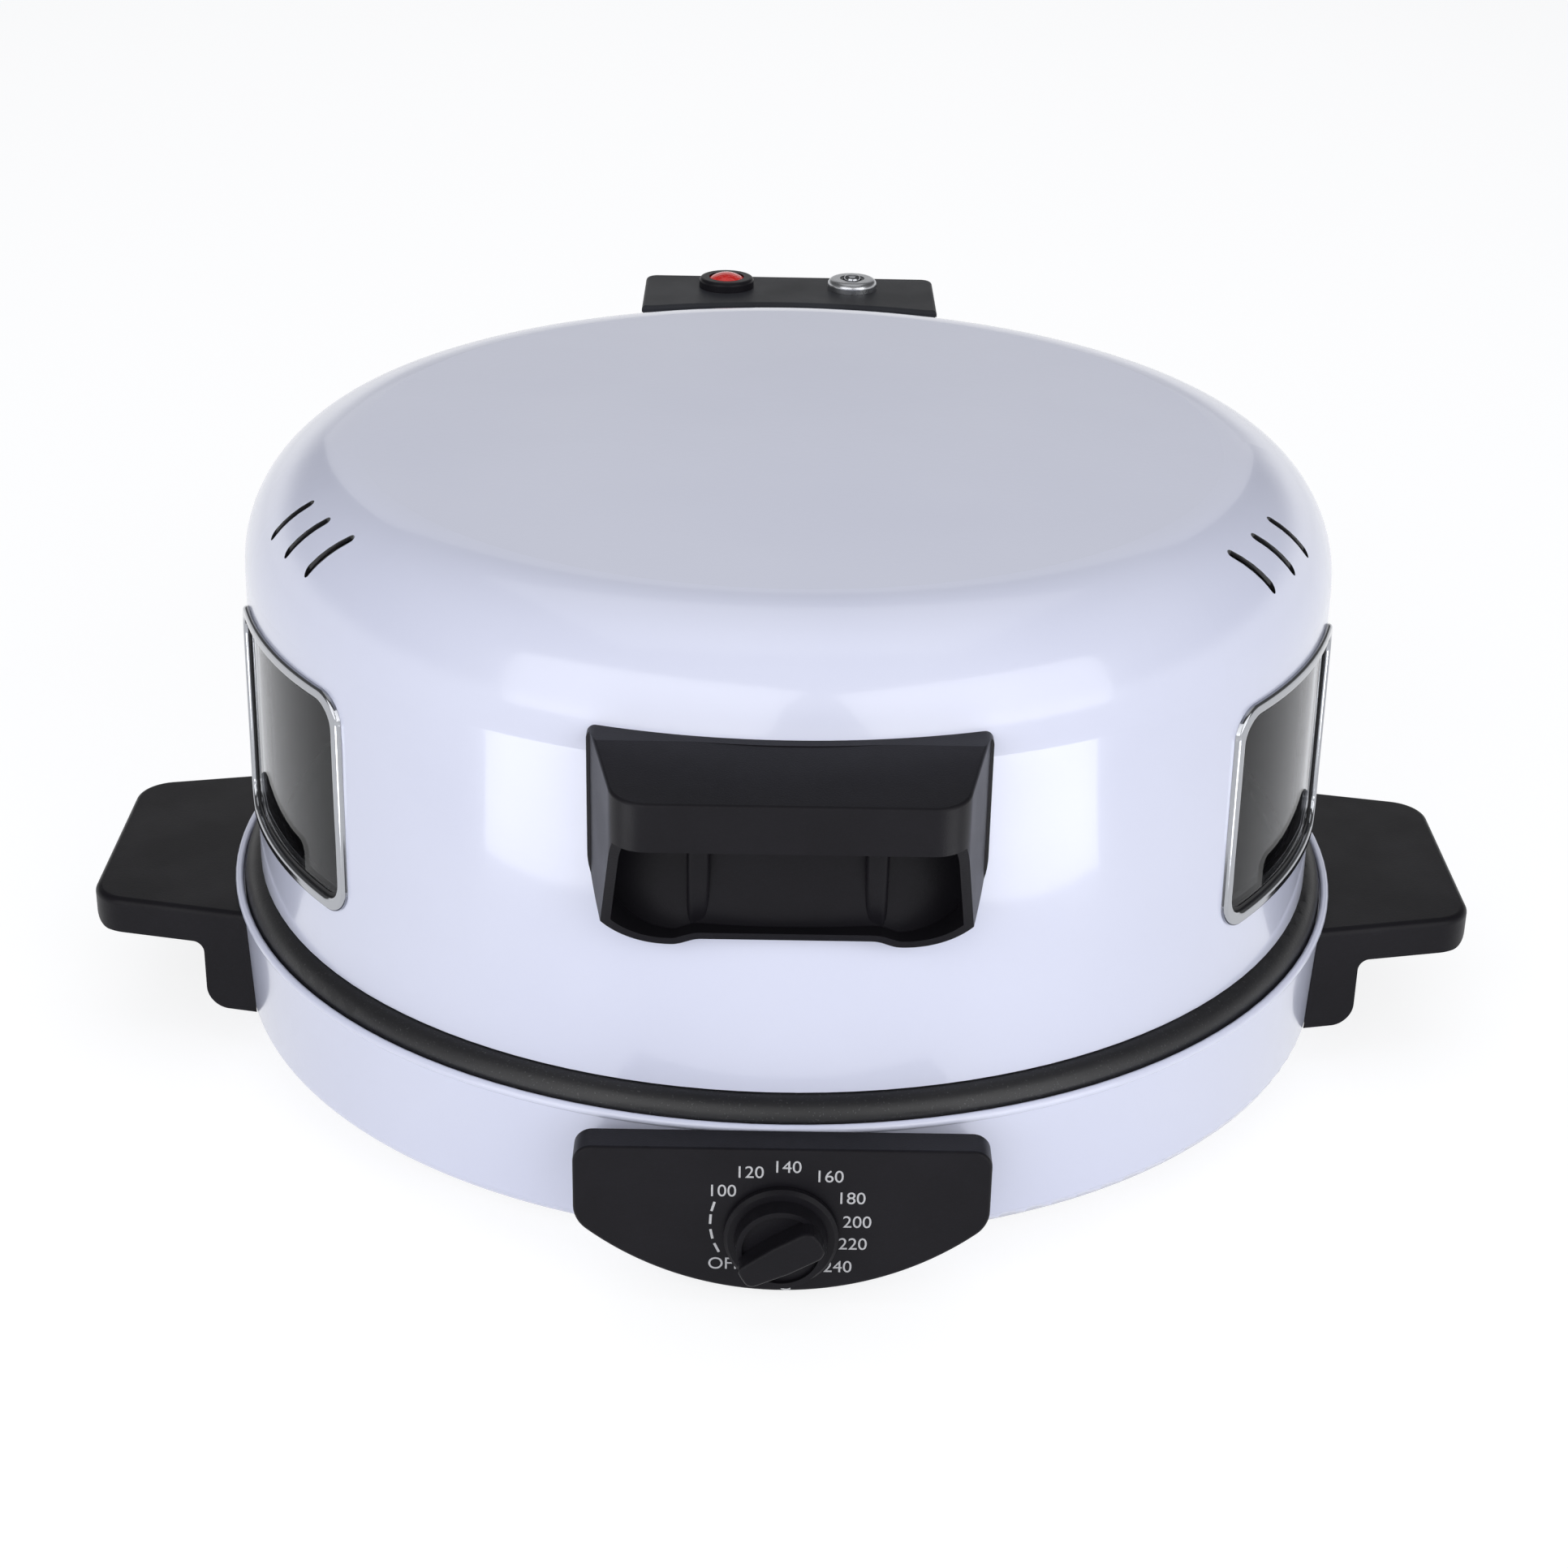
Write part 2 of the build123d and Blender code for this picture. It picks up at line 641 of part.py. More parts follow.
def foot_screws():
    length = PLATE_Z + PLATE_SHEET + FOOT_NUT_THICKNESS - FOOT_RECESS_DEPTH
    one = Pos(0, 0, FOOT_RECESS_DEPTH - SEAT_GAP) * m4_screw(length)
    return round_axis(FOOT_PITCH_R, FOOT_COUNT, FOOT_ANGLE, one)


def foot_nuts():
    nut = hex_nut(FOOT_NUT_ACROSS, FOOT_NUT_THICKNESS, M4_R + SEAT_GAP)
    one = Pos(0, 0, PLATE_Z + PLATE_SHEET + SEAT_GAP) * nut
    return round_axis(FOOT_PITCH_R, FOOT_COUNT, FOOT_ANGLE, one)


def heat_reflector():
    """Dished sheet under the lower heater, clear of the thermostat's back."""
    low = REFLECTOR_Z + REFLECTOR_SHEET / 2
    edge = stat_front() - STAT_COLLAR - STAT_DEPTH - REFLECTOR_EDGE_GAP
    corners = [
        (0, low),
        (edge - REFLECTOR_LIP - REFLECTOR_SLOPE, low),
        (edge - REFLECTOR_LIP, low + REFLECTOR_RISE),
        (edge, low + REFLECTOR_RISE),
    ]
    dish = turned(strip(corners, [REFLECTOR_BEND_R, REFLECTOR_BEND_R], REFLECTOR_SHEET))
    return dish - round_axis(SPACER_PITCH_R, SPACER_COUNT, 90, post(M3_R + FIT_GAP, 0, LOWER_RING_Z))


def reflector_spacers():
    one = post(SPACER_R, SPACER_Z, SPACER_Z + SPACER_HEIGHT) - post(M3_R + FIT_GAP, 0, LOWER_RING_Z)
    return round_axis(SPACER_PITCH_R, SPACER_COUNT, 90, one)


def reflector_screws():
    one = Pos(0, 0, PLATE_Z - SEAT_GAP) * m3_screw(REFLECTOR_Z + REFLECTOR_SHEET - PLATE_Z + M3_HEAD)
    return round_axis(SPACER_PITCH_R, SPACER_COUNT, 90, one)


def ring_heater(ring_r, z, reach, terminal):
    """Heating tube in one open loop, with both ends running out to the rear side by side."""
    spread = TUBE_HALF_SPREAD
    bend_x = spread + TUBE_BEND_R
    bend_y = sqrt((ring_r + TUBE_BEND_R) ** 2 - bend_x**2)
    share = ring_r / (ring_r + TUBE_BEND_R)
    meet = (bend_x * share, bend_y * share)
    half_turn = (radians(90) - asin(bend_x / (ring_r + TUBE_BEND_R))) / 2
    mid = (bend_x - TUBE_BEND_R * cos(half_turn), bend_y - TUBE_BEND_R * sin(half_turn))
    route = [
        Line((spread, reach, z), (spread, bend_y, z)),
        ThreePointArc((spread, bend_y, z), (*mid, z), (*meet, z)),
        ThreePointArc((*meet, z), (0, -ring_r, z), (-meet[0], meet[1], z)),
        ThreePointArc((-meet[0], meet[1], z), (-mid[0], mid[1], z), (-spread, bend_y, z)),
        Line((-spread, bend_y, z), (-spread, reach, z)),
    ]
    start = aimed(spread, reach, z, (0, -1, 0))
    tube = sweep(start * Circle(TUBE_R), Wire(route))
    for x in (-spread, spread):
        tube += rod_y(TERMINAL_R, reach, reach + terminal, x, z)
    return tube


def lower_heater():
    return ring_heater(LOWER_RING_R, LOWER_RING_Z, LOWER_REACH, LOWER_TERMINAL)


def upper_heater():
    return ring_heater(UPPER_RING_R, UPPER_RING_Z, UPPER_REACH, UPPER_TERMINAL)


def heater_clips(ring_r, z, seat_z):
    """Strips bent from a seat round the far side of the heating tube."""
    towards = 1 if seat_z > z else -1
    seat = seat_z - towards * (SEAT_GAP + CLIP_SHEET / 2)
    hold = TUBE_R + SEAT_GAP + CLIP_SHEET / 2
    corners = [
        (ring_r + hold + CLIP_TAB, seat),
        (ring_r + hold, seat),
        (ring_r + hold, z - towards * hold),
        (ring_r - hold, z - towards * hold),
        (ring_r - hold, z + towards * CLIP_SHEET),
    ]
    section = strip(corners, [CLIP_BEND_R, TUBE_R, TUBE_R], CLIP_SHEET)
    one = revolve(Plane.XZ * section, Axis.Z, degrees(CLIP_WIDTH / ring_r))
    return Compound([Rot(0, 0, angle - 90) * one for angle in CLIP_ANGLES])


def baking_pan():
    crest = (PAN_EDGE_R - PAN_RIM_WIDTH, PAN_EDGE_Z + PAN_RIM_CREST)
    floor_z = crest[1] - PAN_DEPTH
    corners = [
        (PAN_OUTER_R, PAN_LOW),
        (PAN_EDGE_R, PAN_EDGE_Z),
        crest,
        (crest[0] - PAN_SIDE_LEAN, floor_z),
        (0, floor_z),
    ]
    return turned(strip(corners, [PAN_RIM_CORNER_R, PAN_CREST_R, PAN_CORNER_R], PAN_SHEET))


def panel_outline():
    """Front view of the control panel: flat top, upright sides and one long curve below."""
    top_left = (-PANEL_HALF_WIDTH, PANEL_TOP)
    top_right = (PANEL_HALF_WIDTH, PANEL_TOP)
    side_low = PANEL_TOP - PANEL_SIDE_HEIGHT
    low_right = (PANEL_HALF_WIDTH, side_low)
    low_left = (-PANEL_HALF_WIDTH, side_low)
    face = make_face(
        [
            Line(top_left, top_right),
            Line(top_right, low_right),
            ThreePointArc(low_right, (0, PANEL_TOP - PANEL_HEIGHT), low_left),
            Line(low_left, top_left),
        ]
    )
    corners = face.vertices().sort_by(Axis.Y)
    face = fillet(corners[2:], PANEL_TOP_CORNER_R)
    corners = [v for v in face.vertices() if abs(v.Y - side_low) < SEAT_GAP]
    return fillet(corners, PANEL_LOW_CORNER_R)


def control_panel():
    outline = panel_outline()
    inner = offset(outline, -PANEL_WALL)
    neck_top = PANEL_TOP - PANEL_NECK_DROP
    below = Pos(0, neck_top - PANEL_TOP / 2) * Rectangle(4 * PANEL_HALF_WIDTH, PANEL_TOP)
    neck = offset(outline, -PANEL_NECK_INSET) & below
    neck_inner = offset(neck, -PANEL_WALL)
    slab = facing_front(-PANEL_BACK) * extrude(outline, PANEL_DEPTH)
    rim = slab.faces().sort_by(Axis.Y)[0].edges()
    slab = fillet(rim, PANEL_EDGE_R)
    wall_y = tub_outer_r(0) - 2 * TUB_LIP_WIDTH
    body = slab + facing_front(-wall_y) * extrude(neck, PANEL_BACK - wall_y + PANEL_EDGE_R)
    body -= facing_front(-PANEL_BACK - PANEL_WALL) * extrude(inner, PANEL_DEPTH - 2 * PANEL_WALL)
    body -= facing_front(-wall_y) * extrude(neck_inner, PANEL_BACK - wall_y + 2 * PANEL_WALL)
    face_y = PANEL_FRONT - PANEL_WALL
    for x in (-PANEL_BOSS_X, PANEL_BOSS_X):
        body += rod_y(PANEL_BOSS_R, -face_y, -wall_y, x, PANEL_BOSS_Z)
    body -= tub_outside(SEAT_GAP)
    for x in (-PANEL_BOSS_X, PANEL_BOSS_X):
        body -= rod_y(M3_R, -face_y + PANEL_WALL, -wall_y, x, PANEL_BOSS_Z)
    return body - rod_y(SHAFT_R + BODY_GAP, -PANEL_FRONT, -wall_y, 0, KNOB_Z)


def wall_seat(x, z, head_r):
    """How far forward or back a screw head can sit inside the round tub wall at one side."""
    return sqrt(tub_inner_r(z - head_r) ** 2 - (abs(x) + head_r) ** 2) - SEAT_GAP


def control_panel_screws():
    seat = wall_seat(PANEL_BOSS_X, PANEL_BOSS_Z, M3_HEAD_R)
    places = [aimed(x, -seat, PANEL_BOSS_Z, (0, -1, 0)) for x in (-PANEL_BOSS_X, PANEL_BOSS_X)]
    return Compound([place * m3_screw(PANEL_SCREW_REACH) for place in places])


def stat_front():
    """Distance in front of the axis at which the thermostat's collar meets the tub wall."""
    return sqrt(tub_inner_r(KNOB_Z - STAT_COLLAR_R) ** 2 - STAT_COLLAR_R**2) - SEAT_GAP


def thermostat():
    face = stat_front() - STAT_COLLAR
    bottom = KNOB_Z - STAT_HEIGHT / 2
    top = KNOB_Z + STAT_HEIGHT / 2
    body = block(-STAT_WIDTH / 2, STAT_WIDTH / 2, -face, -face + STAT_DEPTH, bottom, top)
    body += rod_y(STAT_COLLAR_R, -stat_front(), -face, 0, KNOB_Z)
    body += rod_y(STAT_BUSH_R, -face - STAT_BUSH_LENGTH, -face, 0, KNOB_Z)
    half = STAT_WIDTH / 2 + STAT_TAB_LENGTH
    middle = -face + STAT_DEPTH / 2
    low = KNOB_Z - STAT_TAB_WIDTH / 2
    body += block(-half, half, middle, middle + STAT_TAB_SHEET, low, low + STAT_TAB_WIDTH)
    bore = rod_y(SHAFT_R + RUNNING_GAP, -face - STAT_BUSH_LENGTH, middle, 0, KNOB_Z)
    return body - bore


def thermostat_nut():
    seat = tub_outer_r(KNOB_Z + STAT_NUT_ACROSS / 2) + SEAT_GAP
    nut = hex_nut(STAT_NUT_ACROSS, STAT_NUT_THICKNESS, STAT_BUSH_R + SEAT_GAP)
    return facing_front(-seat, 0, KNOB_Z) * nut


def flat_shaft(gap):
    """Section of the shaft's end with its flat."""
    across = 4 * SHAFT_R
    cut = Pos(0, SHAFT_R - SHAFT_FLAT + gap + across / 2) * Rectangle(across, across)
    return Circle(SHAFT_R + gap) - cut


def thermostat_shaft():
    bush_end = stat_front() - STAT_COLLAR + STAT_BUSH_LENGTH
    back = bush_end - SHAFT_DEPTH
    shaft = rod_y(SHAFT_R, -bush_end, -back, 0, KNOB_Z)
    turned_to = facing_front(-bush_end, 0, KNOB_Z) * Rot(0, 0, -KNOB_REST_ANGLE)
    return shaft + turned_to * extrude(flat_shaft(0), KNOB_BACK + SHAFT_IN_KNOB - bush_end)


def control_knob():
    """Round skirt, dished drum and a grip bar whose narrow end points at the scale."""
    skirt = extrude(Circle(KNOB_SKIRT_R), KNOB_SKIRT)
    skirt = chamfer(skirt.edges().sort_by(Axis.Z)[-1], KNOB_SKIRT_BEVEL)
    drum = loft([Circle(KNOB_BODY_R).face(), Pos(0, 0, KNOB_BODY_DEPTH) * Circle(KNOB_BODY_TOP_R).face()])
    dish = Pos(0, 0, KNOB_BODY_DEPTH - KNOB_DISH) * extrude(Circle(KNOB_DISH_R), KNOB_DISH)
    half = KNOB_BODY_TOP_R
    wide = KNOB_BAR_WIDTH / 2
    tip = KNOB_BAR_TIP_WIDTH / 2
    corners = [(-wide, -half), (wide, -half), (wide, 0), (tip, half), (-tip, half), (-wide, 0)]
    tip_bends = [KNOB_BAR_TIP_R, KNOB_BAR_TIP_R]
    bends = [KNOB_BAR_TAIL_R, KNOB_BAR_TAIL_R, KNOB_BAR_WAIST_R, *tip_bends, KNOB_BAR_WAIST_R]
    bar = make_face(FilletPolyline(*corners, radius=bends, close=True))
    bar = extrude(bar & Circle(half - SEAT_GAP), KNOB_DEPTH)
    bar = fillet(bar.faces().sort_by(Axis.Z)[-1].edges(), KNOB_BAR_EDGE_R)
    knob = skirt + drum - dish + bar
    knob -= extrude(flat_shaft(SEAT_GAP), SHAFT_IN_KNOB + BODY_GAP)
    return facing_front(-KNOB_BACK, 0, KNOB_Z) * Rot(0, 0, -KNOB_REST_ANGLE) * knob


def side_handle():
    """Right-hand carrying handle: a tapered flat plate with a leg down the tub wall."""
    half = SIDE_HALF_WIDTH
    root = WALL_FOOT_R - TUB_LIP_WIDTH
    foot_z = TUB_BOTTOM + SIDE_LEG_RISE
    plan = [(root, -half), (SIDE_OUT, SIDE_TAPER - half), (SIDE_OUT, half - SIDE_TAPER), (root, half)]
    outline = make_face(FilletPolyline(*plan, radius=[0, SIDE_CORNER_R, SIDE_CORNER_R, 0], close=True))
    front = [
        (root, foot_z),
        (SIDE_LEG_OUT, foot_z),
        (SIDE_LEG_OUT, SIDE_BOTTOM),
        (SIDE_OUT, SIDE_BOTTOM),
        (SIDE_OUT, SIDE_TOP),
        (root, SIDE_TOP),
    ]
    bends = [0, SIDE_LEG_CORNER_R, SIDE_INNER_CORNER_R, SIDE_LOW_CORNER_R, 0, 0]
    profile = make_face(FilletPolyline(*front, radius=bends, close=True))
    body = Pos(0, 0, TUB_BOTTOM) * extrude(outline, SIDE_TOP - TUB_BOTTOM)
    rim = [e for e in body.faces().sort_by(Axis.Z)[-1].edges() if e.center().X > root + SEAT_GAP]
    body = fillet(rim, SIDE_EDGE_R)
    body &= facing_front(half) * extrude(profile, 2 * half)
    past_leg = Pos(SIDE_LEG_OUT + SIDE_WALL + SIDE_OUT / 2, 0) * Rectangle(SIDE_OUT, 2 * half)
    hollow = offset(outline, -SIDE_WALL) & past_leg
    body -= Pos(0, 0, TUB_BOTTOM) * extrude(hollow, SIDE_TOP - SIDE_WALL - TUB_BOTTOM)
    body -= tub_outside(SEAT_GAP)
    tip = side_seat() + SIDE_SCREW_REACH + TUB_SHEET
    for y in (-SIDE_SCREW_Y, SIDE_SCREW_Y):
        body -= rod_x(M4_R + SEAT_GAP, root, tip, y, SIDE_SCREW_Z)
    return body


def side_seat():
    """Distance from the axis at which a side handle's screw head sits inside the tub wall."""
    return wall_seat(SIDE_SCREW_Y, SIDE_SCREW_Z, M4_HEAD_R)


def side_handle_screws():
    screws = []
    for y in (-SIDE_SCREW_Y, SIDE_SCREW_Y):
        one = aimed(side_seat(), y, SIDE_SCREW_Z, (1, 0, 0)) * m4_screw(SIDE_SCREW_REACH)
        screws += [one, mirrored(one)]
    return Compound(screws)


def rear_tower():
    """Hollow control tower, open at the back, with a roof that follows the lid and a neck to the tub."""
    width = 2 * TOWER_HALF_WIDTH
    height = TOWER_TOP - TOWER_BOTTOM
    depth = TOWER_BACK - TOWER_FRONT
    body = block(-width / 2, width / 2, TOWER_FRONT, TOWER_BACK, TOWER_BOTTOM, TOWER_TOP)
    back_corners = body.edges().filter_by(Axis.Z).sort_by(Axis.Y)[2:]
    body = fillet(back_corners, TOWER_CORNER_R)
    roof_low = TOWER_TOP - TOWER_WALL
    roof_y = sqrt(TOWER_FRONT**2 - TOWER_HALF_WIDTH**2)
    visor = block(-width / 2, width / 2, roof_y, TOWER_FRONT, roof_low, TOWER_TOP)
    body += visor - post(TOWER_FRONT - TOWER_VISOR, roof_low, TOWER_TOP)
    body = fillet(body.faces().sort_by(Axis.Z)[-1].edges(), TOWER_EDGE_R)
    root = WALL_FOOT_R - 2 * TUB_LIP_WIDTH
    wide = TOWER_NECK_HALF_WIDTH
    neck = block(-wide, wide, root, TOWER_FRONT, TOWER_BOTTOM, TOWER_BOTTOM + TOWER_NECK_HEIGHT)
    body += neck - tub_outside(SEAT_GAP)
    middle = (TOWER_TOP + TOWER_BOTTOM) / 2
    inside = Rectangle(width - 2 * TOWER_WALL, height - 2 * TOWER_WALL)
    rebate_r = TOWER_CORNER_R - COVER_REBATE
    rebate = RectangleRounded(width - 2 * COVER_REBATE, height - 2 * COVER_REBATE, rebate_r)
    back = Plane(origin=(0, TOWER_BACK, middle), x_dir=(1, 0, 0), z_dir=(0, -1, 0))
    body -= back * extrude(inside, depth - TOWER_WALL)
    body -= back * extrude(rebate, COVER_SHEET + COVER_INSET)
    cover_y = TOWER_BACK - COVER_INSET - COVER_SHEET
    for x, z in cover_screw_places():
        body += rod_y(COVER_BOSS_R, TOWER_FRONT + TOWER_WALL, cover_y - SEAT_GAP, x, z)
        body -= rod_y(M3_R + SEAT_GAP, cover_y - COVER_SCREW_LENGTH, cover_y, x, z)
    wall_in = TOWER_FRONT + TOWER_WALL
    ear_screw_end = TOWER_FRONT + EAR_SCREW_LENGTH
    for s in (-1, 1):
        body -= rod_y(M4_R + SEAT_GAP, root, wall_in, s * TOWER_SCREW_X, TOWER_SCREW_Z)
        for dx in (-EAR_SCREW_X, EAR_SCREW_X):
            x = s * HINGE_X + dx
            body += rod_y(EAR_BOSS_R, wall_in, ear_screw_end, x, EAR_SCREW_Z)
            body -= rod_y(M3_R + SEAT_GAP, TOWER_FRONT, ear_screw_end, x, EAR_SCREW_Z)
    body -= post(LAMP_NECK_R + FIT_GAP, roof_low, TOWER_TOP, -CONTROL_X, CONTROL_Y)
    body -= post(SWITCH_BUSH_R + FIT_GAP, roof_low, TOWER_TOP, CONTROL_X, CONTROL_Y)
    body -= rod_y(BUSH_R + SEAT_GAP, TOWER_FRONT, wall_in, 0, WIRE_BUSH_Z)
    body -= rod_x(BUSH_R + SEAT_GAP, TOWER_HALF_WIDTH - TOWER_WALL, TOWER_HALF_WIDTH, GLAND_Y, GLAND_Z)
    return body


def cover_screw_places():
    """The four corners of the tower cover where its screws go."""
    x = TOWER_HALF_WIDTH - COVER_SCREW_INSET
    low = TOWER_BOTTOM + COVER_SCREW_INSET
    high = TOWER_TOP - COVER_SCREW_INSET
    return [(-x, low), (x, low), (-x, high), (x, high)]


def tower_cover():
    width = 2 * (TOWER_HALF_WIDTH - COVER_REBATE - FIT_GAP)
    height = TOWER_TOP - TOWER_BOTTOM - 2 * (COVER_REBATE + FIT_GAP)
    middle = (TOWER_TOP + TOWER_BOTTOM) / 2
    outline = RectangleRounded(width, height, TOWER_CORNER_R - COVER_REBATE - FIT_GAP)
    cover = facing_front(TOWER_BACK - COVER_INSET, 0, middle) * extrude(outline, COVER_SHEET - SEAT_GAP)
    for x, z in cover_screw_places():
        cover -= rod_y(M3_R + FIT_GAP, TOWER_FRONT, TOWER_BACK, x, z)
    return cover


def tower_cover_screws():
    places = [aimed(x, TOWER_BACK - COVER_INSET + SEAT_GAP, z, (0, -1, 0)) for x, z in cover_screw_places()]
    return Compound([place * m3_screw(COVER_SCREW_LENGTH) for place in places])


def tower_mount_screws():
    seat = wall_seat(TOWER_SCREW_X, TOWER_SCREW_Z, M4_HEAD_R)
    places = [aimed(x, seat, TOWER_SCREW_Z, (0, 1, 0)) for x in (-TOWER_SCREW_X, TOWER_SCREW_X)]
    return Compound([place * m4_screw(TOWER_SCREW_REACH) for place in places])


def lamp_bezel():
    top = TOWER_TOP + SEAT_GAP
    flange = post(LAMP_R, top, top + LAMP_HEIGHT)
    flange = fillet(flange.edges().sort_by(Axis.Z)[-1], LAMP_EDGE_R)
    body = flange + post(LAMP_NECK_R, top - LAMP_NECK_DEPTH, top)
    body -= post(LENS_R, top - LAMP_NECK_DEPTH + LAMP_FLOOR, top + LAMP_HEIGHT)
    return Pos(-CONTROL_X, CONTROL_Y, 0) * body


def lamp_lens():
    rim = TOWER_TOP + LAMP_HEIGHT - LAMP_EDGE_R / 2
    low = TOWER_TOP - LAMP_NECK_DEPTH + LAMP_FLOOR + 2 * SEAT_GAP
    radius = LENS_R - SEAT_GAP
    dome = (radius**2 + LENS_RISE**2) / (2 * LENS_RISE)
    top = rim + LENS_RISE
    return Pos(-CONTROL_X, CONTROL_Y, 0) * (post(radius, low, top) & Pos(0, 0, top - dome) * Sphere(dome))


def switch_body():
    under = TOWER_TOP - TOWER_WALL - SEAT_GAP
    bottom = under - SWITCH_HEIGHT
    wide = SWITCH_WIDTH / 2
    long = SWITCH_LENGTH / 2
    body = block(-wide, wide, -long, long, bottom, under)
    body += post(SWITCH_BUSH_R, under, TOWER_TOP + SWITCH_BUSH_RISE)
    floor_z = TOWER_TOP + BUTTON_RISE - BUTTON_DEPTH - BUTTON_TRAVEL - BODY_GAP
    body -= post(BUTTON_R + BODY_GAP, floor_z, TOWER_TOP + SWITCH_BUSH_RISE)
    half = STAT_TAB_WIDTH / 2
    for x in (-wide / 2, wide / 2):
        body += block(x, x + STAT_TAB_SHEET, -half, half, bottom - STAT_TAB_LENGTH, bottom)
    return Pos(CONTROL_X, CONTROL_Y, 0) * body


def switch_ring_nut():
    ring = post(SWITCH_RING_R, 0, SWITCH_RING_HEIGHT)
    ring = fillet(ring.edges().sort_by(Axis.Z)[-1], SWITCH_RING_EDGE_R)
    ring -= post(SWITCH_BUSH_R + SEAT_GAP, 0, SWITCH_RING_HEIGHT)
    return Pos(CONTROL_X, CONTROL_Y, TOWER_TOP + SEAT_GAP) * ring


def switch_button():
    """Round-headed button that stands in the switch's bush."""
    button = post(BUTTON_R, BUTTON_RISE - BUTTON_DEPTH, BUTTON_RISE)
    button = fillet(button.edges().sort_by(Axis.Z)[-1], BUTTON_EDGE_R)
    return Pos(CONTROL_X, CONTROL_Y, TOWER_TOP) * button


def hinge_bracket():
    """Right-hand bracket on the tower: a base sheet with two ears for the pin."""
    back = TOWER_FRONT - SEAT_GAP
    front = back - EAR_BASE_SHEET
    half = EAR_BASE_HALF_WIDTH
    base_low = HINGE_Z - EAR_BASE_DROP
    base_top = HINGE_Z + EAR_BASE_RISE
    body = block(HINGE_X - half, HINGE_X + half, front, back, base_low, base_top)
    low = KNUCKLE_R / sqrt(2)
    corners = [
        (HINGE_Y, HINGE_Z + KNUCKLE_R),
        (front + SEAT_GAP, base_top),
        (front + SEAT_GAP, HINGE_Z - EAR_FOOT_DROP),
        (HINGE_Y - low, HINGE_Z - low),
    ]
    ear = make_face(Polyline(*corners, close=True)) + Pos(HINGE_Y, HINGE_Z) * Circle(KNUCKLE_R)
    ear -= Pos(HINGE_Y, HINGE_Z) * Circle(PIN_R + SEAT_GAP)
    for x in (HINGE_X - EAR_GAP - EAR_SHEET, HINGE_X + EAR_GAP):
        body += facing_right(x) * extrude(ear, EAR_SHEET)
    for dx in (-EAR_SCREW_X, EAR_SCREW_X):
        body -= rod_y(M3_R + FIT_GAP, front, back, HINGE_X + dx, EAR_SCREW_Z)
    return body


def hinge_bracket_screws():
    front = TOWER_FRONT - EAR_BASE_SHEET - 2 * SEAT_GAP
    screws = []
    for dx in (-EAR_SCREW_X, EAR_SCREW_X):
        one = aimed(HINGE_X + dx, front, EAR_SCREW_Z, (0, 1, 0)) * m3_screw(EAR_SCREW_LENGTH)
        screws += [one, mirrored(one)]
    return Compound(screws)


def hinge_pin():
    reach = EAR_GAP + EAR_SHEET + SEAT_GAP
    pin = rod_x(PIN_R, HINGE_X - reach, HINGE_X + reach, HINGE_Y, HINGE_Z)
    pin += rod_x(PIN_HEAD_R, HINGE_X + reach, HINGE_X + reach + PIN_HEAD, HINGE_Y, HINGE_Z)
    return pin + rod_x(PIN_END_R, HINGE_X - reach - PIN_HEAD, HINGE_X - reach, HINGE_Y, HINGE_Z)


def arm_rivet_places():
    """Angle and height of each rivet that holds the right-hand arm to the lid wall."""
    places = []
    for dx in (-RIVET_X, RIVET_X):
        angle = 180 - degrees(asin((HINGE_X + dx) / LID_R))
        places += [(angle, PAD_BOTTOM + RIVET_INSET), (angle, PAD_TOP - RIVET_INSET)]
    return places


def lid_hinge_arm():
    """Right-hand arm on the lid: a pad on the wall and a web up to the hinge knuckle."""
    half = PAD_HALF_WIDTH
    pad = lid_ring(SEAT_GAP, SEAT_GAP + PAD_SHEET, PAD_BOTTOM, PAD_TOP)
    pad &= block(HINGE_X - half, HINGE_X + half, 0, LID_R + ARM_DEPTH, PAD_BOTTOM, PAD_TOP)
    wall_y = sqrt(LID_R**2 - HINGE_X**2)
    across = KNUCKLE_R * cos(radians(ARM_TURN))
    down = KNUCKLE_R * sin(radians(ARM_TURN))
    corners = [
        (HINGE_Y + across, HINGE_Z - down),
        (wall_y + ARM_DEPTH, PAD_TOP),
        (wall_y + ARM_DEPTH, PAD_BOTTOM + ARM_DEPTH),
        (wall_y, PAD_BOTTOM),
        (wall_y - ARM_DEPTH, PAD_BOTTOM),
        (wall_y - ARM_DEPTH, PAD_TOP + ARM_DEPTH),
        (HINGE_Y - across, HINGE_Z + down),
    ]
    web = make_face(Polyline(*corners, close=True)) + Pos(HINGE_Y, HINGE_Z) * Circle(KNUCKLE_R)
    web -= Pos(HINGE_Y, HINGE_Z) * Circle(PIN_R + RUNNING_GAP)
    arm = pad + facing_right(HINGE_X - KNUCKLE_WIDTH / 2) * extrude(web, KNUCKLE_WIDTH)
    arm -= lid_filled(-SEAT_GAP, LID_BOTTOM)
    for angle, z in arm_rivet_places():
        arm -= outward(angle, z, LID_R / 2) * extrude(Circle(RIVET_R + SEAT_GAP), LID_R)
    return arm


def lid_arm_rivets():
    rivets = []
    for angle, z in arm_rivet_places():
        inside = lid_outer_r(z) - LID_SHEET - 2 * SEAT_GAP
        outside = lid_outer_r(z) + PAD_SHEET + 2 * SEAT_GAP
        one = outward(angle, z, inside) * extrude(Circle(RIVET_R), outside - inside)
        for start in (inside - RIVET_HEAD, outside):
            one += outward(angle, z, start) * extrude(Circle(RIVET_HEAD_R), RIVET_HEAD)
        rivets += [one, mirrored(one)]
    return Compound(rivets)


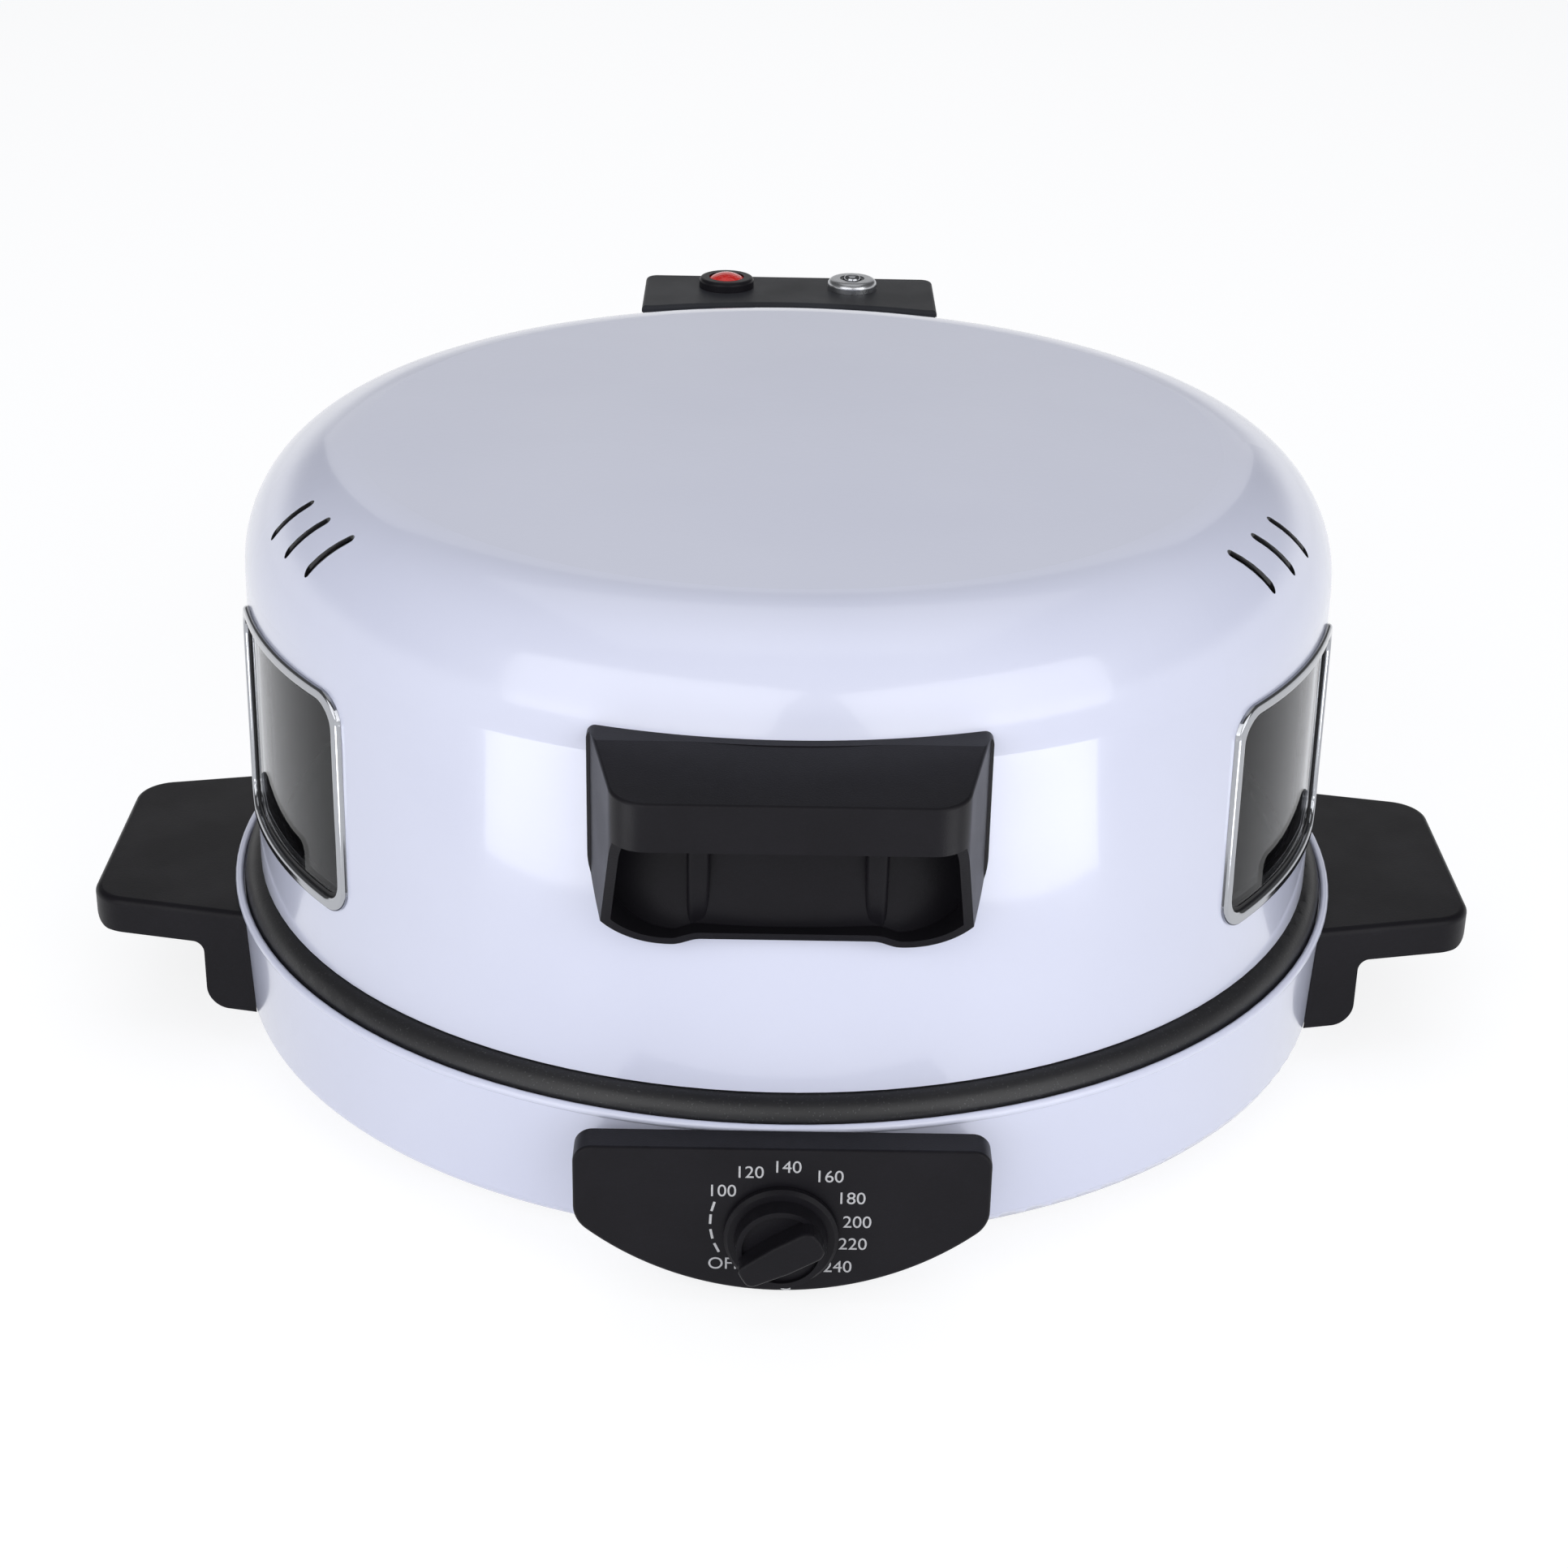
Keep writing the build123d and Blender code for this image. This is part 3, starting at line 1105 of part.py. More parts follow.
def vent_cuts(shift):
    """Upright cutters for the steam slots on both shoulders, shifted towards the axis."""
    cuts = []
    low = LID_TOP - VENT_DEPTH
    outer_r = LID_R - VENT_EDGE_GAP - shift
    for i in range(VENT_COUNT):
        y = VENT_FIRST_Y - i * VENT_PITCH
        inner = sqrt((outer_r - VENT_LENGTH) ** 2 - y**2)
        outer = sqrt(outer_r**2 - y**2)
        slot = SlotOverall(outer - inner, VENT_WIDTH)
        for s in (-1, 1):
            cuts.append(Pos(s * (inner + outer) / 2, y, low) * extrude(slot, VENT_DEPTH))
    return cuts


def lid_shell():
    shell = lid_filled(0, LID_BOTTOM) - lid_filled(LID_SHEET, LID_BOTTOM - LID_SHEET)
    for side in (-1, 1):
        shell -= window_inner(FRAME_LIP + FIT_GAP, side)
        for x in (-GRIP_RIB_X, GRIP_RIB_X):
            shell -= rod_y(M4_R + HOLE_GAP, -LID_R, -LID_R / 2, x, GRIP_SCREW_Z)
    for cut in vent_cuts(0):
        shell -= cut
    for angle, z in arm_rivet_places():
        for a in (angle, -angle):
            shell -= outward(a, z, LID_R / 2) * extrude(Circle(RIVET_R + SEAT_GAP), LID_R / 2)
    return shell - rod_y(BUSH_R + SEAT_GAP, LID_R / 2, LID_R, 0, WIRE_BUSH_Z)


def lid_liner():
    half = LINER_SHEET / 2
    low = LID_BOTTOM + LINER_LIFT
    hem = lid_outer_r(low + LINER_HEM) - LID_SHEET - SEAT_GAP - half
    wall = LID_R - LID_SHEET - LINER_GAP - half
    head = wall - (LINER_TOP - low) * tan(radians(LID_DRAFT))
    roof = LINER_TOP - half
    corners = [(hem, low + LINER_HEM), (hem, low), (wall, low), (head, roof), (0, roof)]
    liner = turned(strip(corners, [LINER_HEM_R, LINER_HEM_R, LINER_SHOULDER_R], LINER_SHEET))
    for side in (-1, 1):
        liner -= window_inner(0, side)
        x = side * TUBE_HALF_SPREAD
        liner -= rod_y(TUBE_R + HOLE_GAP, UPPER_RING_R, LID_R, x, UPPER_RING_Z)
    return liner - vent_cuts(VENT_LINER_SHIFT)


def window_frame(side):
    blank = window_blank(WINDOW_WIDTH, WINDOW_HEIGHT, WINDOW_CORNER_R, side)
    bars = (blank & window_ring(SEAT_GAP, FRAME_PROUD)) - window_inner(0, side)
    face = bars.faces().sort_by(lambda f: hypot(f.center().X, f.center().Y))[-1]
    bars = fillet(face.edges(), FRAME_EDGE_R)
    lip = window_inner(FRAME_LIP, side) & window_ring(-LID_SHEET - FRAME_INWARD, 2 * SEAT_GAP)
    return bars + (lip - window_inner(0, side))


def window_gasket(side):
    bead = window_inner(-SEAT_GAP, side) & window_ring(-LID_SHEET - GASKET_INWARD, -GASKET_SINK)
    pane = window_inner(-GASKET_BAR, side)
    behind = -GLASS_SINK - GLASS_THICKNESS - 2 * SEAT_GAP
    bead -= pane & window_ring(behind, FRAME_PROUD)
    return bead - window_inner(-GASKET_BAR - GASKET_LIP, side)


def window_glass(side):
    pane = window_inner(-GASKET_BAR - SEAT_GAP, side)
    return pane & window_ring(-GLASS_SINK - GLASS_THICKNESS, -GLASS_SINK)


def grip_outline(inset=0.0):
    """Front view of the lid handle's back plate: two round lobes with a shallow notch between them."""
    half = GRIP_HALF_WIDTH
    low = GRIP_BOTTOM
    notch = GRIP_NOTCH_HALF_WIDTH
    lobe_r = half - notch - GRIP_NOTCH_SLOPE - GRIP_NOTCH_R / 4
    right = [
        (half, GRIP_TOP),
        (half, low),
        (notch + GRIP_NOTCH_SLOPE, low),
        (notch, low + GRIP_NOTCH_RISE),
    ]
    top_r = max(GRIP_TOP_CORNER_R - inset, 0)
    bends = [top_r, lobe_r - inset, GRIP_NOTCH_R - inset, GRIP_NOTCH_R + inset]
    corners = beside(right + [(-x, z) for x, z in right[::-1]], -inset)
    return make_face(FilletPolyline(*corners, radius=bends + bends[::-1], close=True))


def grip_plan(back, inset=0.0):
    """Plan of the lid handle's hood, which narrows towards its front lip."""
    half = GRIP_HALF_WIDTH
    lip = half - GRIP_LIP_INSET
    side_front = -back - GRIP_CORNER_R
    right = [(lip, -GRIP_FRONT), (half, side_front), (half, -back)]
    corners = beside([(-x, y) for x, y in right[::-1]] + right, inset)
    bend = GRIP_CORNER_R - inset
    return make_face(FilletPolyline(*corners, radius=[0, bend, bend, bend, bend, 0], close=True))


def grip_side(back):
    """Side view of the hood: sloping shelf, upright lip and cheeks that slant back to the plate's foot."""
    lip_top = GRIP_TOP - GRIP_SHELF_DROP
    lip_low = lip_top - GRIP_LIP_HEIGHT
    return [
        (-back, GRIP_TOP),
        (-LID_R, GRIP_TOP),
        (-GRIP_FRONT, lip_top),
        (-GRIP_FRONT, lip_low),
        (-GRIP_FRONT + GRIP_LIP_STEP, lip_low),
        (-LID_R - GRIP_PLATE - GRIP_RIM, GRIP_BOTTOM),
        (-back, GRIP_BOTTOM),
    ]


def across_grip(corners):
    """Solid as wide as the lid handle from a side view's corners."""
    side_face = make_face(Polyline(*corners, close=True))
    return facing_right(-GRIP_HALF_WIDTH) * extrude(side_face, 2 * GRIP_HALF_WIDTH)


def grip_rib(x, back):
    """Rib of the lid handle: deep under the shelf, and gone at the plate's foot."""
    top = GRIP_TOP - GRIP_SHELF_DROP - GRIP_WALL / 2
    corners = [
        (-back, top),
        (-LID_R - GRIP_PLATE - GRIP_RIB_DEPTH, top),
        (-LID_R, GRIP_BOTTOM + GRIP_NOTCH_RISE),
        (-back, GRIP_BOTTOM + GRIP_NOTCH_RISE),
    ]
    rib_face = make_face(Polyline(*corners, close=True))
    rib = facing_right(x - GRIP_RIB_WIDTH / 2) * extrude(rib_face, GRIP_RIB_WIDTH)
    front_edges = rib.faces().sort_by(Axis.Y)[0].edges().filter_by(Axis.X, reverse=True)
    return fillet(front_edges, GRIP_RIB_EDGE_R)


def lid_handle():
    """Front handle: curved back plate, overhanging hood with a lip and cheeks, and two ribs."""
    back = LID_R - 2 * GRIP_CORNER_R
    deep = GRIP_FRONT - back
    front_view = facing_front(-back) * extrude(grip_outline(), deep)
    side_view = grip_side(back)
    hood = Pos(0, 0, GRIP_BOTTOM) * extrude(grip_plan(back), GRIP_HEIGHT) & across_grip(side_view)
    lip_top = GRIP_TOP - GRIP_SHELF_DROP
    outside = -LID_R - GRIP_PLATE
    rim = [e for e in hood.edges() if e.center().Y < outside and e.center().Z > lip_top - SEAT_GAP]
    hood = fillet(rim, GRIP_EDGE_R)
    hood &= front_view
    under = [(y, z - GRIP_WALL) for y, z in side_view[:3]]
    under += [(-GRIP_FRONT, GRIP_BOTTOM), (-back, GRIP_BOTTOM)]
    pocket = Pos(0, 0, GRIP_BOTTOM) * extrude(grip_plan(back, GRIP_WALL), GRIP_HEIGHT)
    pocket &= across_grip(under)
    pocket &= facing_front(-back) * extrude(grip_outline(GRIP_WALL), deep)
    plate = front_view & lid_ring(0, GRIP_PLATE, GRIP_BOTTOM, GRIP_TOP)
    body = hood - pocket + plate
    for x in (-GRIP_RIB_X, GRIP_RIB_X):
        body += grip_rib(x, back)
    body -= lid_filled(-SEAT_GAP, LID_BOTTOM)
    tip = grip_seat() + GRIP_SCREW_REACH + SEAT_GAP
    for x in (-GRIP_RIB_X, GRIP_RIB_X):
        body -= rod_y(M4_R + SEAT_GAP, -tip, -back, x, GRIP_SCREW_Z)
    return body


def grip_seat():
    """Distance in front of the axis at which the lid handle's screw heads sit inside the lid."""
    inner = lid_outer_r(GRIP_SCREW_Z + M4_HEAD_R) - LID_SHEET
    return sqrt(inner**2 - (GRIP_RIB_X + M4_HEAD_R) ** 2) - SEAT_GAP


def lid_handle_screws():
    places = [aimed(x, -grip_seat(), GRIP_SCREW_Z, (0, -1, 0)) for x in (-GRIP_RIB_X, GRIP_RIB_X)]
    return Compound([place * m4_screw(GRIP_SCREW_REACH) for place in places])


def bush(wall):
    """Rubber bush on the plane's origin, with its flange outside a wall of a thickness."""
    low = -wall - BUSH_INWARD
    return post(BUSH_FLANGE_R, 0, BUSH_FLANGE) + post(BUSH_R, low, 0) - post(BUSH_BORE_R, low, BUSH_FLANGE)


def lid_wire_bush():
    return outward(180, WIRE_BUSH_Z, LID_R + SEAT_GAP) * bush(LID_SHEET)


def tower_wire_bush():
    return facing_front(TOWER_FRONT - SEAT_GAP, 0, WIRE_BUSH_Z) * bush(TOWER_WALL)


def cord_gland():
    """Side outlet for the mains lead, with a tapered sleeve."""
    sleeve = loft([Circle(BUSH_R).face(), Pos(0, 0, GLAND_LENGTH) * Circle(GLAND_TIP_R).face()])
    body = bush(TOWER_WALL) + sleeve - extrude(Circle(BUSH_BORE_R), GLAND_LENGTH)
    return aimed(TOWER_HALF_WIDTH + SEAT_GAP, GLAND_Y, GLAND_Z, (1, 0, 0)) * body


def write(name, shape):
    export_step(Pos(0, LID_AXIS_Y, 0) * shape, f"parts/{name}.step")


os.makedirs("parts", exist_ok=True)

write("base_shell", base_shell())
write("base_plate", base_plate())
write("base_plate_screws", base_plate_screws())
for i, place in enumerate(("rear_right", "rear_left", "front_left", "front_right")):
    write(f"foot_{place}", foot(FOOT_ANGLE + i * 360 / FOOT_COUNT))
write("foot_screws", foot_screws())
write("foot_nuts", foot_nuts())
write("heat_reflector", heat_reflector())
write("reflector_spacers", reflector_spacers())
write("reflector_screws", reflector_screws())
write("lower_heater", lower_heater())
write("lower_heater_clips", heater_clips(LOWER_RING_R, LOWER_RING_Z, REFLECTOR_Z + REFLECTOR_SHEET))
write("baking_pan", baking_pan())
write("control_panel", control_panel())
write("control_panel_screws", control_panel_screws())
write("thermostat", thermostat())
write("thermostat_nut", thermostat_nut())
write("thermostat_shaft", thermostat_shaft())
write("control_knob", control_knob())
write("side_handle_right", side_handle())
write("side_handle_left", mirrored(side_handle()))
write("side_handle_screws", side_handle_screws())
write("rear_tower", rear_tower())
write("tower_cover", tower_cover())
write("tower_cover_screws", tower_cover_screws())
write("tower_mount_screws", tower_mount_screws())
write("tower_wire_bush", tower_wire_bush())
write("cord_gland", cord_gland())
write("lamp_bezel", lamp_bezel())
write("lamp_lens", lamp_lens())
write("switch_body", switch_body())
write("switch_ring_nut", switch_ring_nut())
write("switch_button", switch_button())
write("hinge_bracket_right", hinge_bracket())
write("hinge_bracket_left", mirrored(hinge_bracket()))
write("hinge_bracket_screws", hinge_bracket_screws())
write("hinge_pin_right", hinge_pin())
write("hinge_pin_left", mirrored(hinge_pin()))
write("lid_shell", lid_shell())
write("lid_liner", lid_liner())
write("lid_wire_bush", lid_wire_bush())
write("upper_heater", upper_heater())
write("upper_heater_clips", heater_clips(UPPER_RING_R, UPPER_RING_Z, LINER_TOP - LINER_SHEET))
for name, side in (("right", 1), ("left", -1)):
    write(f"window_frame_{name}", window_frame(side))
    write(f"window_gasket_{name}", window_gasket(side))
    write(f"window_glass_{name}", window_glass(side))
write("lid_handle", lid_handle())
write("lid_handle_screws", lid_handle_screws())
write("lid_hinge_arm_right", lid_hinge_arm())
write("lid_hinge_arm_left", mirrored(lid_hinge_arm()))
write("lid_arm_rivets", lid_arm_rivets())
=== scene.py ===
from math import cos, radians, sin

import bmesh
import bpy
from mathutils import Euler, Matrix, Vector


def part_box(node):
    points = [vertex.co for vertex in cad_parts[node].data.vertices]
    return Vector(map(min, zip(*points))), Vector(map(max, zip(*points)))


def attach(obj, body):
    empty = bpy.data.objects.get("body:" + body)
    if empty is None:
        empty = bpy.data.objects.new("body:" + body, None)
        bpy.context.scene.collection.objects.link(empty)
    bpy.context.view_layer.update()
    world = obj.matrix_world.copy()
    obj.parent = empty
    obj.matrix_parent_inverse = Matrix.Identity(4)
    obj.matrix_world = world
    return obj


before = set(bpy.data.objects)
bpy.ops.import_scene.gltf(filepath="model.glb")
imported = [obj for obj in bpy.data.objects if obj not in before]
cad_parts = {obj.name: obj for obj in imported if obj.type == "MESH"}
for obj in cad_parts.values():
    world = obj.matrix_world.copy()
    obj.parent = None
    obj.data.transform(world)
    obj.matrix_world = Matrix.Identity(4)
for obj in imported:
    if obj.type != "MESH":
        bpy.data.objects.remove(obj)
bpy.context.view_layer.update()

# Axis of the round lid and pan
PAN_LOW, PAN_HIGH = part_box("baking_pan")
AXIS_Y = (PAN_LOW.y + PAN_HIGH.y) / 2

# Camera, found from the round rims of the photograph
CAMERA_BACK = 0.9848
CAMERA_HEIGHT = 0.5481
CAMERA_DOWN = 25.34
CAMERA_ROLL = 1.14
CAMERA_ORBIT = -0.5
CAMERA_LENS = 66.3

# Printed dial: words and their places to the right of and above the knob's axis
CAPITAL_SHARE = 0.69  # of the lettering's size, that a capital is high
PRINT_HEIGHT = 0.0043
PRINT_THICKNESS = 0.00004
PRINT_STAND = 0.00002
DIAL_WORDS = (
    ("OFF", -0.0178, -0.0113),
    ("100", -0.0189, 0.0161),
    ("120", -0.0103, 0.0231),
    ("140", 0.0015, 0.0252),
    ("160", 0.0148, 0.0219),
    ("180", 0.0219, 0.0139),
    ("200", 0.0240, 0.0050),
    ("220", 0.0228, -0.0033),
    ("240", 0.0182, -0.0120),
    ("°C", 0.0002, -0.0192),
)
DASH_RADIUS = 0.0225
DASH_CENTRE_RISE = 0.004
DASH_ANGLES = (-74.3, -86.7, -100.9, -114.8)
DASH_LENGTH = 0.0036
DASH_WIDTH = 0.0008

# Lid's enamel: how far its faces look away from a point on the axis, where painted shade ends and enamel
# starts
LID_CORE_HEIGHT = 0.04
PAINTED_SHADE_END = 0.68
ENAMEL_START = 0.74
ENAMEL_COAT = 0.5

# Floor: its size, the share of it that glows when it is seen, and the strength of that glow
FLOOR_SIZE = 9.0
FLOOR_SHARE = 0.62
FLOOR_GLOW = 1.28

# World: its even light, and the degrees over the horizon where the white backdrop starts to fade and ends
WORLD_LIGHT = 0.30
BACKDROP_TOP = 4.0
BACKDROP_END = 16.0
CEILING_SHADE = 0.12

# Lamps: place, width, height and power
LAMP_TARGET = (0, 0, 0.12)
LAMPS = {
    "key": ((-1.1, -1.9, 1.1), 2.4, 1.8, 25.5),
    "fill": ((1.4, -1.7, 1.0), 2.2, 1.6, 22.0),
    "top": ((0, 0.2, 2.2), 2.0, 2.0, 6.5),
    "back": ((0, 2.2, 1.2), 2.0, 1.0, 3.0),
}

# Two low bright cards in front, mirrored by the lid wall on both sides of its handle:
# corners to the right of and in front of the lid's axis
CARD_HEIGHT = 0.002
CARD_GLOW = 5.0
LEFT_CARD = ((-0.520, 0.383), (-0.317, 0.625), (-0.216, 0.395), (-0.350, 0.290))
RIGHT_CARD = ((0.533, 0.374), (0.447, 0.538), (0.295, 0.635), (0.226, 0.379), (0.353, 0.269))


def srgb(red, green, blue):
    """A colour as it is seen in the photograph, 0 to 255, made linear."""
    shares = [level / 255 for level in (red, green, blue)]
    linear = [share / 12.92 if share <= 0.04 else ((share + 0.055) / 1.055) ** 2.4 for share in shares]
    return (*linear, 1.0)


class Value:
    """A number or colour that changes over a surface. Sums of numbers are written as plain maths."""

    def __init__(self, finish, socket):
        self.finish = finish
        self.socket = socket

    def math(self, operation, first, second):
        return self.finish.node("Math", {"operation": operation}, {0: first, 1: second})

    def __add__(self, other):
        return self.math("ADD", self, other)

    def __radd__(self, other):
        return self.math("ADD", other, self)

    def __sub__(self, other):
        return self.math("SUBTRACT", self, other)

    def __rsub__(self, other):
        return self.math("SUBTRACT", other, self)

    def __mul__(self, other):
        return self.math("MULTIPLY", self, other)

    def __rmul__(self, other):
        return self.math("MULTIPLY", other, self)


class Finish:
    """One procedural finish, drawn on Object coordinates in metres."""

    def __init__(self, name, color, roughness, **fixed):
        self.material = bpy.data.materials.new(name)
        self.material.use_nodes = True
        self.tree = self.material.node_tree
        self.shader = self.tree.nodes["Principled BSDF"]
        self.place = self.node("TexCoord", output="Object")
        self.set(base_color=color, roughness=roughness, **fixed)

    def node(self, kind, settings=None, sockets=None, output=0):
        """The one output of a new node, with its settings first and then its sockets."""
        made = self.tree.nodes.new("ShaderNode" + kind)
        for name, value in (settings or {}).items():
            setattr(made, name, value)
        for name, value in (sockets or {}).items():
            self.feed(made.inputs[name], value)
        return Value(self, made.outputs[output])

    def feed(self, socket, value):
        """Links a value to a socket, or sets a constant on it."""
        if isinstance(value, Value):
            self.tree.links.new(value.socket, socket)
        else:
            socket.default_value = value

    def set(self, **sockets):
        """Values or links for the shader's sockets, named in small letters."""
        for name, value in sockets.items():
            self.feed(self.shader.inputs[name.replace("_", " ").title().replace("Ior", "IOR")], value)
        return self

    def noise(self, scale, detail=3.0, stretch=(1, 1, 1)):
        """Noise from 0 to 1 with that many cells in a metre."""
        place = self.node("Mapping", {}, {"Vector": self.place, "Scale": stretch})
        return self.node("TexNoise", {}, {"Vector": place, "Scale": scale, "Detail": detail}, "Fac")

    def blend(self, amount, first, second):
        """A colour between two others."""
        return self.node("Mix", {"data_type": "RGBA"}, {0: amount, 6: first, 7: second}, 2)

    def between(self, value, low, high):
        """0 under the low number, 1 over the high one and even in between."""
        return self.node("MapRange", {}, {"Value": value, "From Min": low, "From Max": high})

    def bump(self, height, depth, strength=1.0, under=None):
        """A surface that rises with a height from 0 to 1 by a depth in metres."""
        sockets = {"Height": height, "Distance": depth, "Strength": strength}
        if under:
            sockets["Normal"] = under
        return self.node("Bump", {}, sockets, "Normal")


def white_enamel(name):
    """Glossy stove enamel with a faint cool tint, an orange-peel skin and soft unevenness."""
    finish = Finish(name, (0.8, 0.8, 0.8, 1), 0.2, coat_weight=ENAMEL_COAT, coat_roughness=0.06, coat_ior=1.5)
    cloud = finish.between(finish.noise(9, 2), 0.35, 0.65)
    finish.color = finish.blend(cloud, (0.720, 0.745, 0.905, 1), (0.750, 0.775, 0.930, 1))
    peel = finish.bump(finish.noise(420, 1), 0.00002)
    wave = finish.bump(finish.noise(24, 1), 0.00015, 1.0, peel)
    return finish.set(base_color=finish.color, roughness=0.17 + 0.07 * finish.noise(60), normal=wave)


def lid_enamel_with_painted_shade():
    """The lid's enamel, with dark painted shade inside the shell and on the walls of its steam slots."""
    finish = white_enamel("lid_enamel")
    normal = finish.node("TexCoord", output="Normal")
    core = (0, AXIS_Y, LID_CORE_HEIGHT)
    away = finish.node("VectorMath", {"operation": "SUBTRACT"}, {0: finish.place, 1: core})
    outward = finish.node("VectorMath", {"operation": "NORMALIZE"}, {0: away})
    facing = finish.node("VectorMath", {"operation": "DOT_PRODUCT"}, {0: normal, 1: outward}, "Value")
    outside = finish.between(facing, PAINTED_SHADE_END, ENAMEL_START)
    # Painted shade: near-black on faces that look inward, inside the shell and on the slot walls, with no
    # coat there
    color = finish.blend(outside, srgb(30, 30, 32), finish.color)
    return finish.set(base_color=color, coat_weight=ENAMEL_COAT * outside)


def moulded_black(name, shade, roughness):
    """Satin black plastic with a fine spark-eroded grain and slightly polished patches."""
    finish = Finish(name, shade, roughness, specular_ior_level=0.13)
    worn = finish.between(finish.noise(35, 4), 0.4, 0.75)
    color = finish.blend(worn, shade, tuple(c * 1.35 for c in shade[:3]) + (1,))
    grain = finish.bump(finish.noise(1900, 2), 0.00005, 0.8)
    return finish.set(base_color=color, roughness=roughness - 0.06 * worn, normal=grain)


def nonstick():
    """Black non-stick coating with tiny pale flecks and a pebbled skin."""
    shade = srgb(26, 26, 29)
    finish = Finish("black_nonstick", shade, 0.42)
    flecks = finish.between(finish.noise(1500, 1), 0.66, 0.74)
    color = finish.blend(flecks, shade, srgb(62, 62, 64))
    skin = finish.bump(finish.noise(800, 2), 0.00006)
    return finish.set(base_color=color, roughness=0.36 + 0.16 * finish.noise(45), normal=skin)


def chrome():
    """Bright chrome plate with faint haze and fine polishing lines."""
    finish = Finish("chrome_trim", srgb(170, 172, 177), 0.08, metallic=1.0)
    haze = finish.noise(55, 3)
    lines = finish.bump(finish.noise(700, 2, (1, 1, 0.12)), 0.00001, 0.6)
    return finish.set(roughness=0.06 + 0.12 * haze, normal=lines)


def rolled_metal(name, shade, roughness, stretch, dark=0.75):
    """Sheet or bar metal with rolling lines along one direction and dull patches."""
    finish = Finish(name, shade, roughness, metallic=1.0)
    lines = finish.noise(320, 3, stretch)
    dull = finish.between(finish.noise(14, 4), 0.35, 0.7)
    color = finish.blend(dull, shade, tuple(c * dark for c in shade[:3]) + (1,))
    skin = finish.bump(lines, 0.00003)
    return finish.set(base_color=color, roughness=roughness + 0.14 * lines, normal=skin)


def heated_tube():
    """Sheathed heating tube, browned in places by use."""
    finish = Finish("heater_steel", srgb(112, 108, 104), 0.45, metallic=0.9)
    stain = finish.between(finish.noise(26, 4), 0.45, 0.65)
    color = finish.blend(stain, srgb(118, 114, 110), srgb(84, 70, 60))
    skin = finish.bump(finish.noise(900, 2), 0.00004)
    return finish.set(base_color=color, roughness=0.38 + 0.2 * stain, normal=skin)


def soft_rubber():
    """Matt black rubber with a dusty bloom."""
    finish = Finish("black_rubber", srgb(34, 34, 36), 0.75)
    bloom = finish.between(finish.noise(60, 4), 0.5, 0.8)
    color = finish.blend(bloom, srgb(30, 30, 32), srgb(52, 52, 54))
    skin = finish.bump(finish.noise(1200, 2), 0.00006)
    return finish.set(base_color=color, roughness=0.66 + 0.16 * bloom, normal=skin)


def clear_glass():
    """Curved clear glass with a grey tint and a faint film on its face."""
    tint = (0.55, 0.56, 0.59, 1)
    finish = Finish("window_glass", tint, 0.02, transmission_weight=1.0, ior=1.18, specular_ior_level=0.2)
    film = finish.between(finish.noise(30, 4), 0.45, 0.8)
    return finish.set(roughness=0.01 + 0.03 * film)


def red_lens():
    """Red lamp lens with fine facets, a little lit from inside."""
    finish = Finish("red_lens", srgb(196, 34, 24), 0.12, coat_weight=0.6, emission_strength=0.35)
    color = finish.blend(finish.noise(300, 2), srgb(160, 14, 12), srgb(196, 30, 22))
    cells = finish.node("TexVoronoi", {}, {"Vector": finish.place, "Scale": 900.0}, "Distance")
    facets = finish.bump(cells, 0.00015)
    return finish.set(base_color=color, emission_color=color, normal=facets)


def printed_grey():
    """Screen-printed pale ink, a little thin in places."""
    finish = Finish("printed_grey", srgb(206, 206, 208), 0.5)
    thin = finish.between(finish.noise(2600, 2), 0.5, 0.85)
    return finish.set(base_color=finish.blend(thin, srgb(194, 194, 197), srgb(146, 146, 149)))


def dress(finish, *names):
    """Gives CAD nodes a finish."""
    for name in names:
        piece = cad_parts[name]
        for place in piece.material_slots:
            place.material = finish.material


def dress_nodes():
    """Every CAD node in its finish."""
    sides = ("left", "right")
    dress(white_enamel("white_enamel"), "base_shell")
    dress(lid_enamel_with_painted_shade(), "lid_shell")
    dress(nonstick(), "baking_pan")
    black = moulded_black("black_plastic", srgb(23, 22, 26), 0.40)
    dress(black, "control_panel", "control_knob", "lid_handle", "lamp_bezel")
    dress(black, *[f"side_handle_{side}" for side in sides])
    dress(moulded_black("dark_grey_plastic", srgb(46, 47, 51), 0.5), "rear_tower", "tower_cover")
    dress(moulded_black("grey_moulding", srgb(96, 96, 98), 0.5), "thermostat", "switch_body")
    sheet = rolled_metal("aluminised_steel", srgb(196, 196, 198), 0.34, (0.06, 1, 1))
    dress(sheet, "lid_liner", "heat_reflector", "reflector_spacers")
    dress(sheet, "upper_heater_clips", "lower_heater_clips")
    dress(heated_tube(), "lower_heater", "upper_heater")
    plain = rolled_metal("plain_steel", srgb(176, 177, 180), 0.32, (1, 1, 0.08))
    dress(plain, "base_plate", "lid_arm_rivets", "thermostat_nut", "thermostat_shaft")
    for side in sides:
        dress(plain, f"hinge_bracket_{side}", f"lid_hinge_arm_{side}", f"hinge_pin_{side}")
    screws = rolled_metal("screw_steel", srgb(168, 168, 170), 0.28, (1, 1, 1))
    dress(screws, *[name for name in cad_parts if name.endswith("_screws")], "foot_nuts")
    bright = chrome()
    rubber = soft_rubber()
    glass = clear_glass()
    dress(bright, "switch_button")
    dress(rolled_metal("satin_chrome", srgb(196, 198, 202), 0.22, (1, 1, 1), 0.92), "switch_ring_nut")
    dress(rubber, "lid_wire_bush", "tower_wire_bush", "cord_gland")
    for side in sides:
        dress(rubber, f"foot_front_{side}", f"foot_rear_{side}")
        dress(bright, f"window_frame_{side}")
        dress(rubber, f"window_gasket_{side}")
        dress(glass, f"window_glass_{side}")
    dress(red_lens(), "lamp_lens")


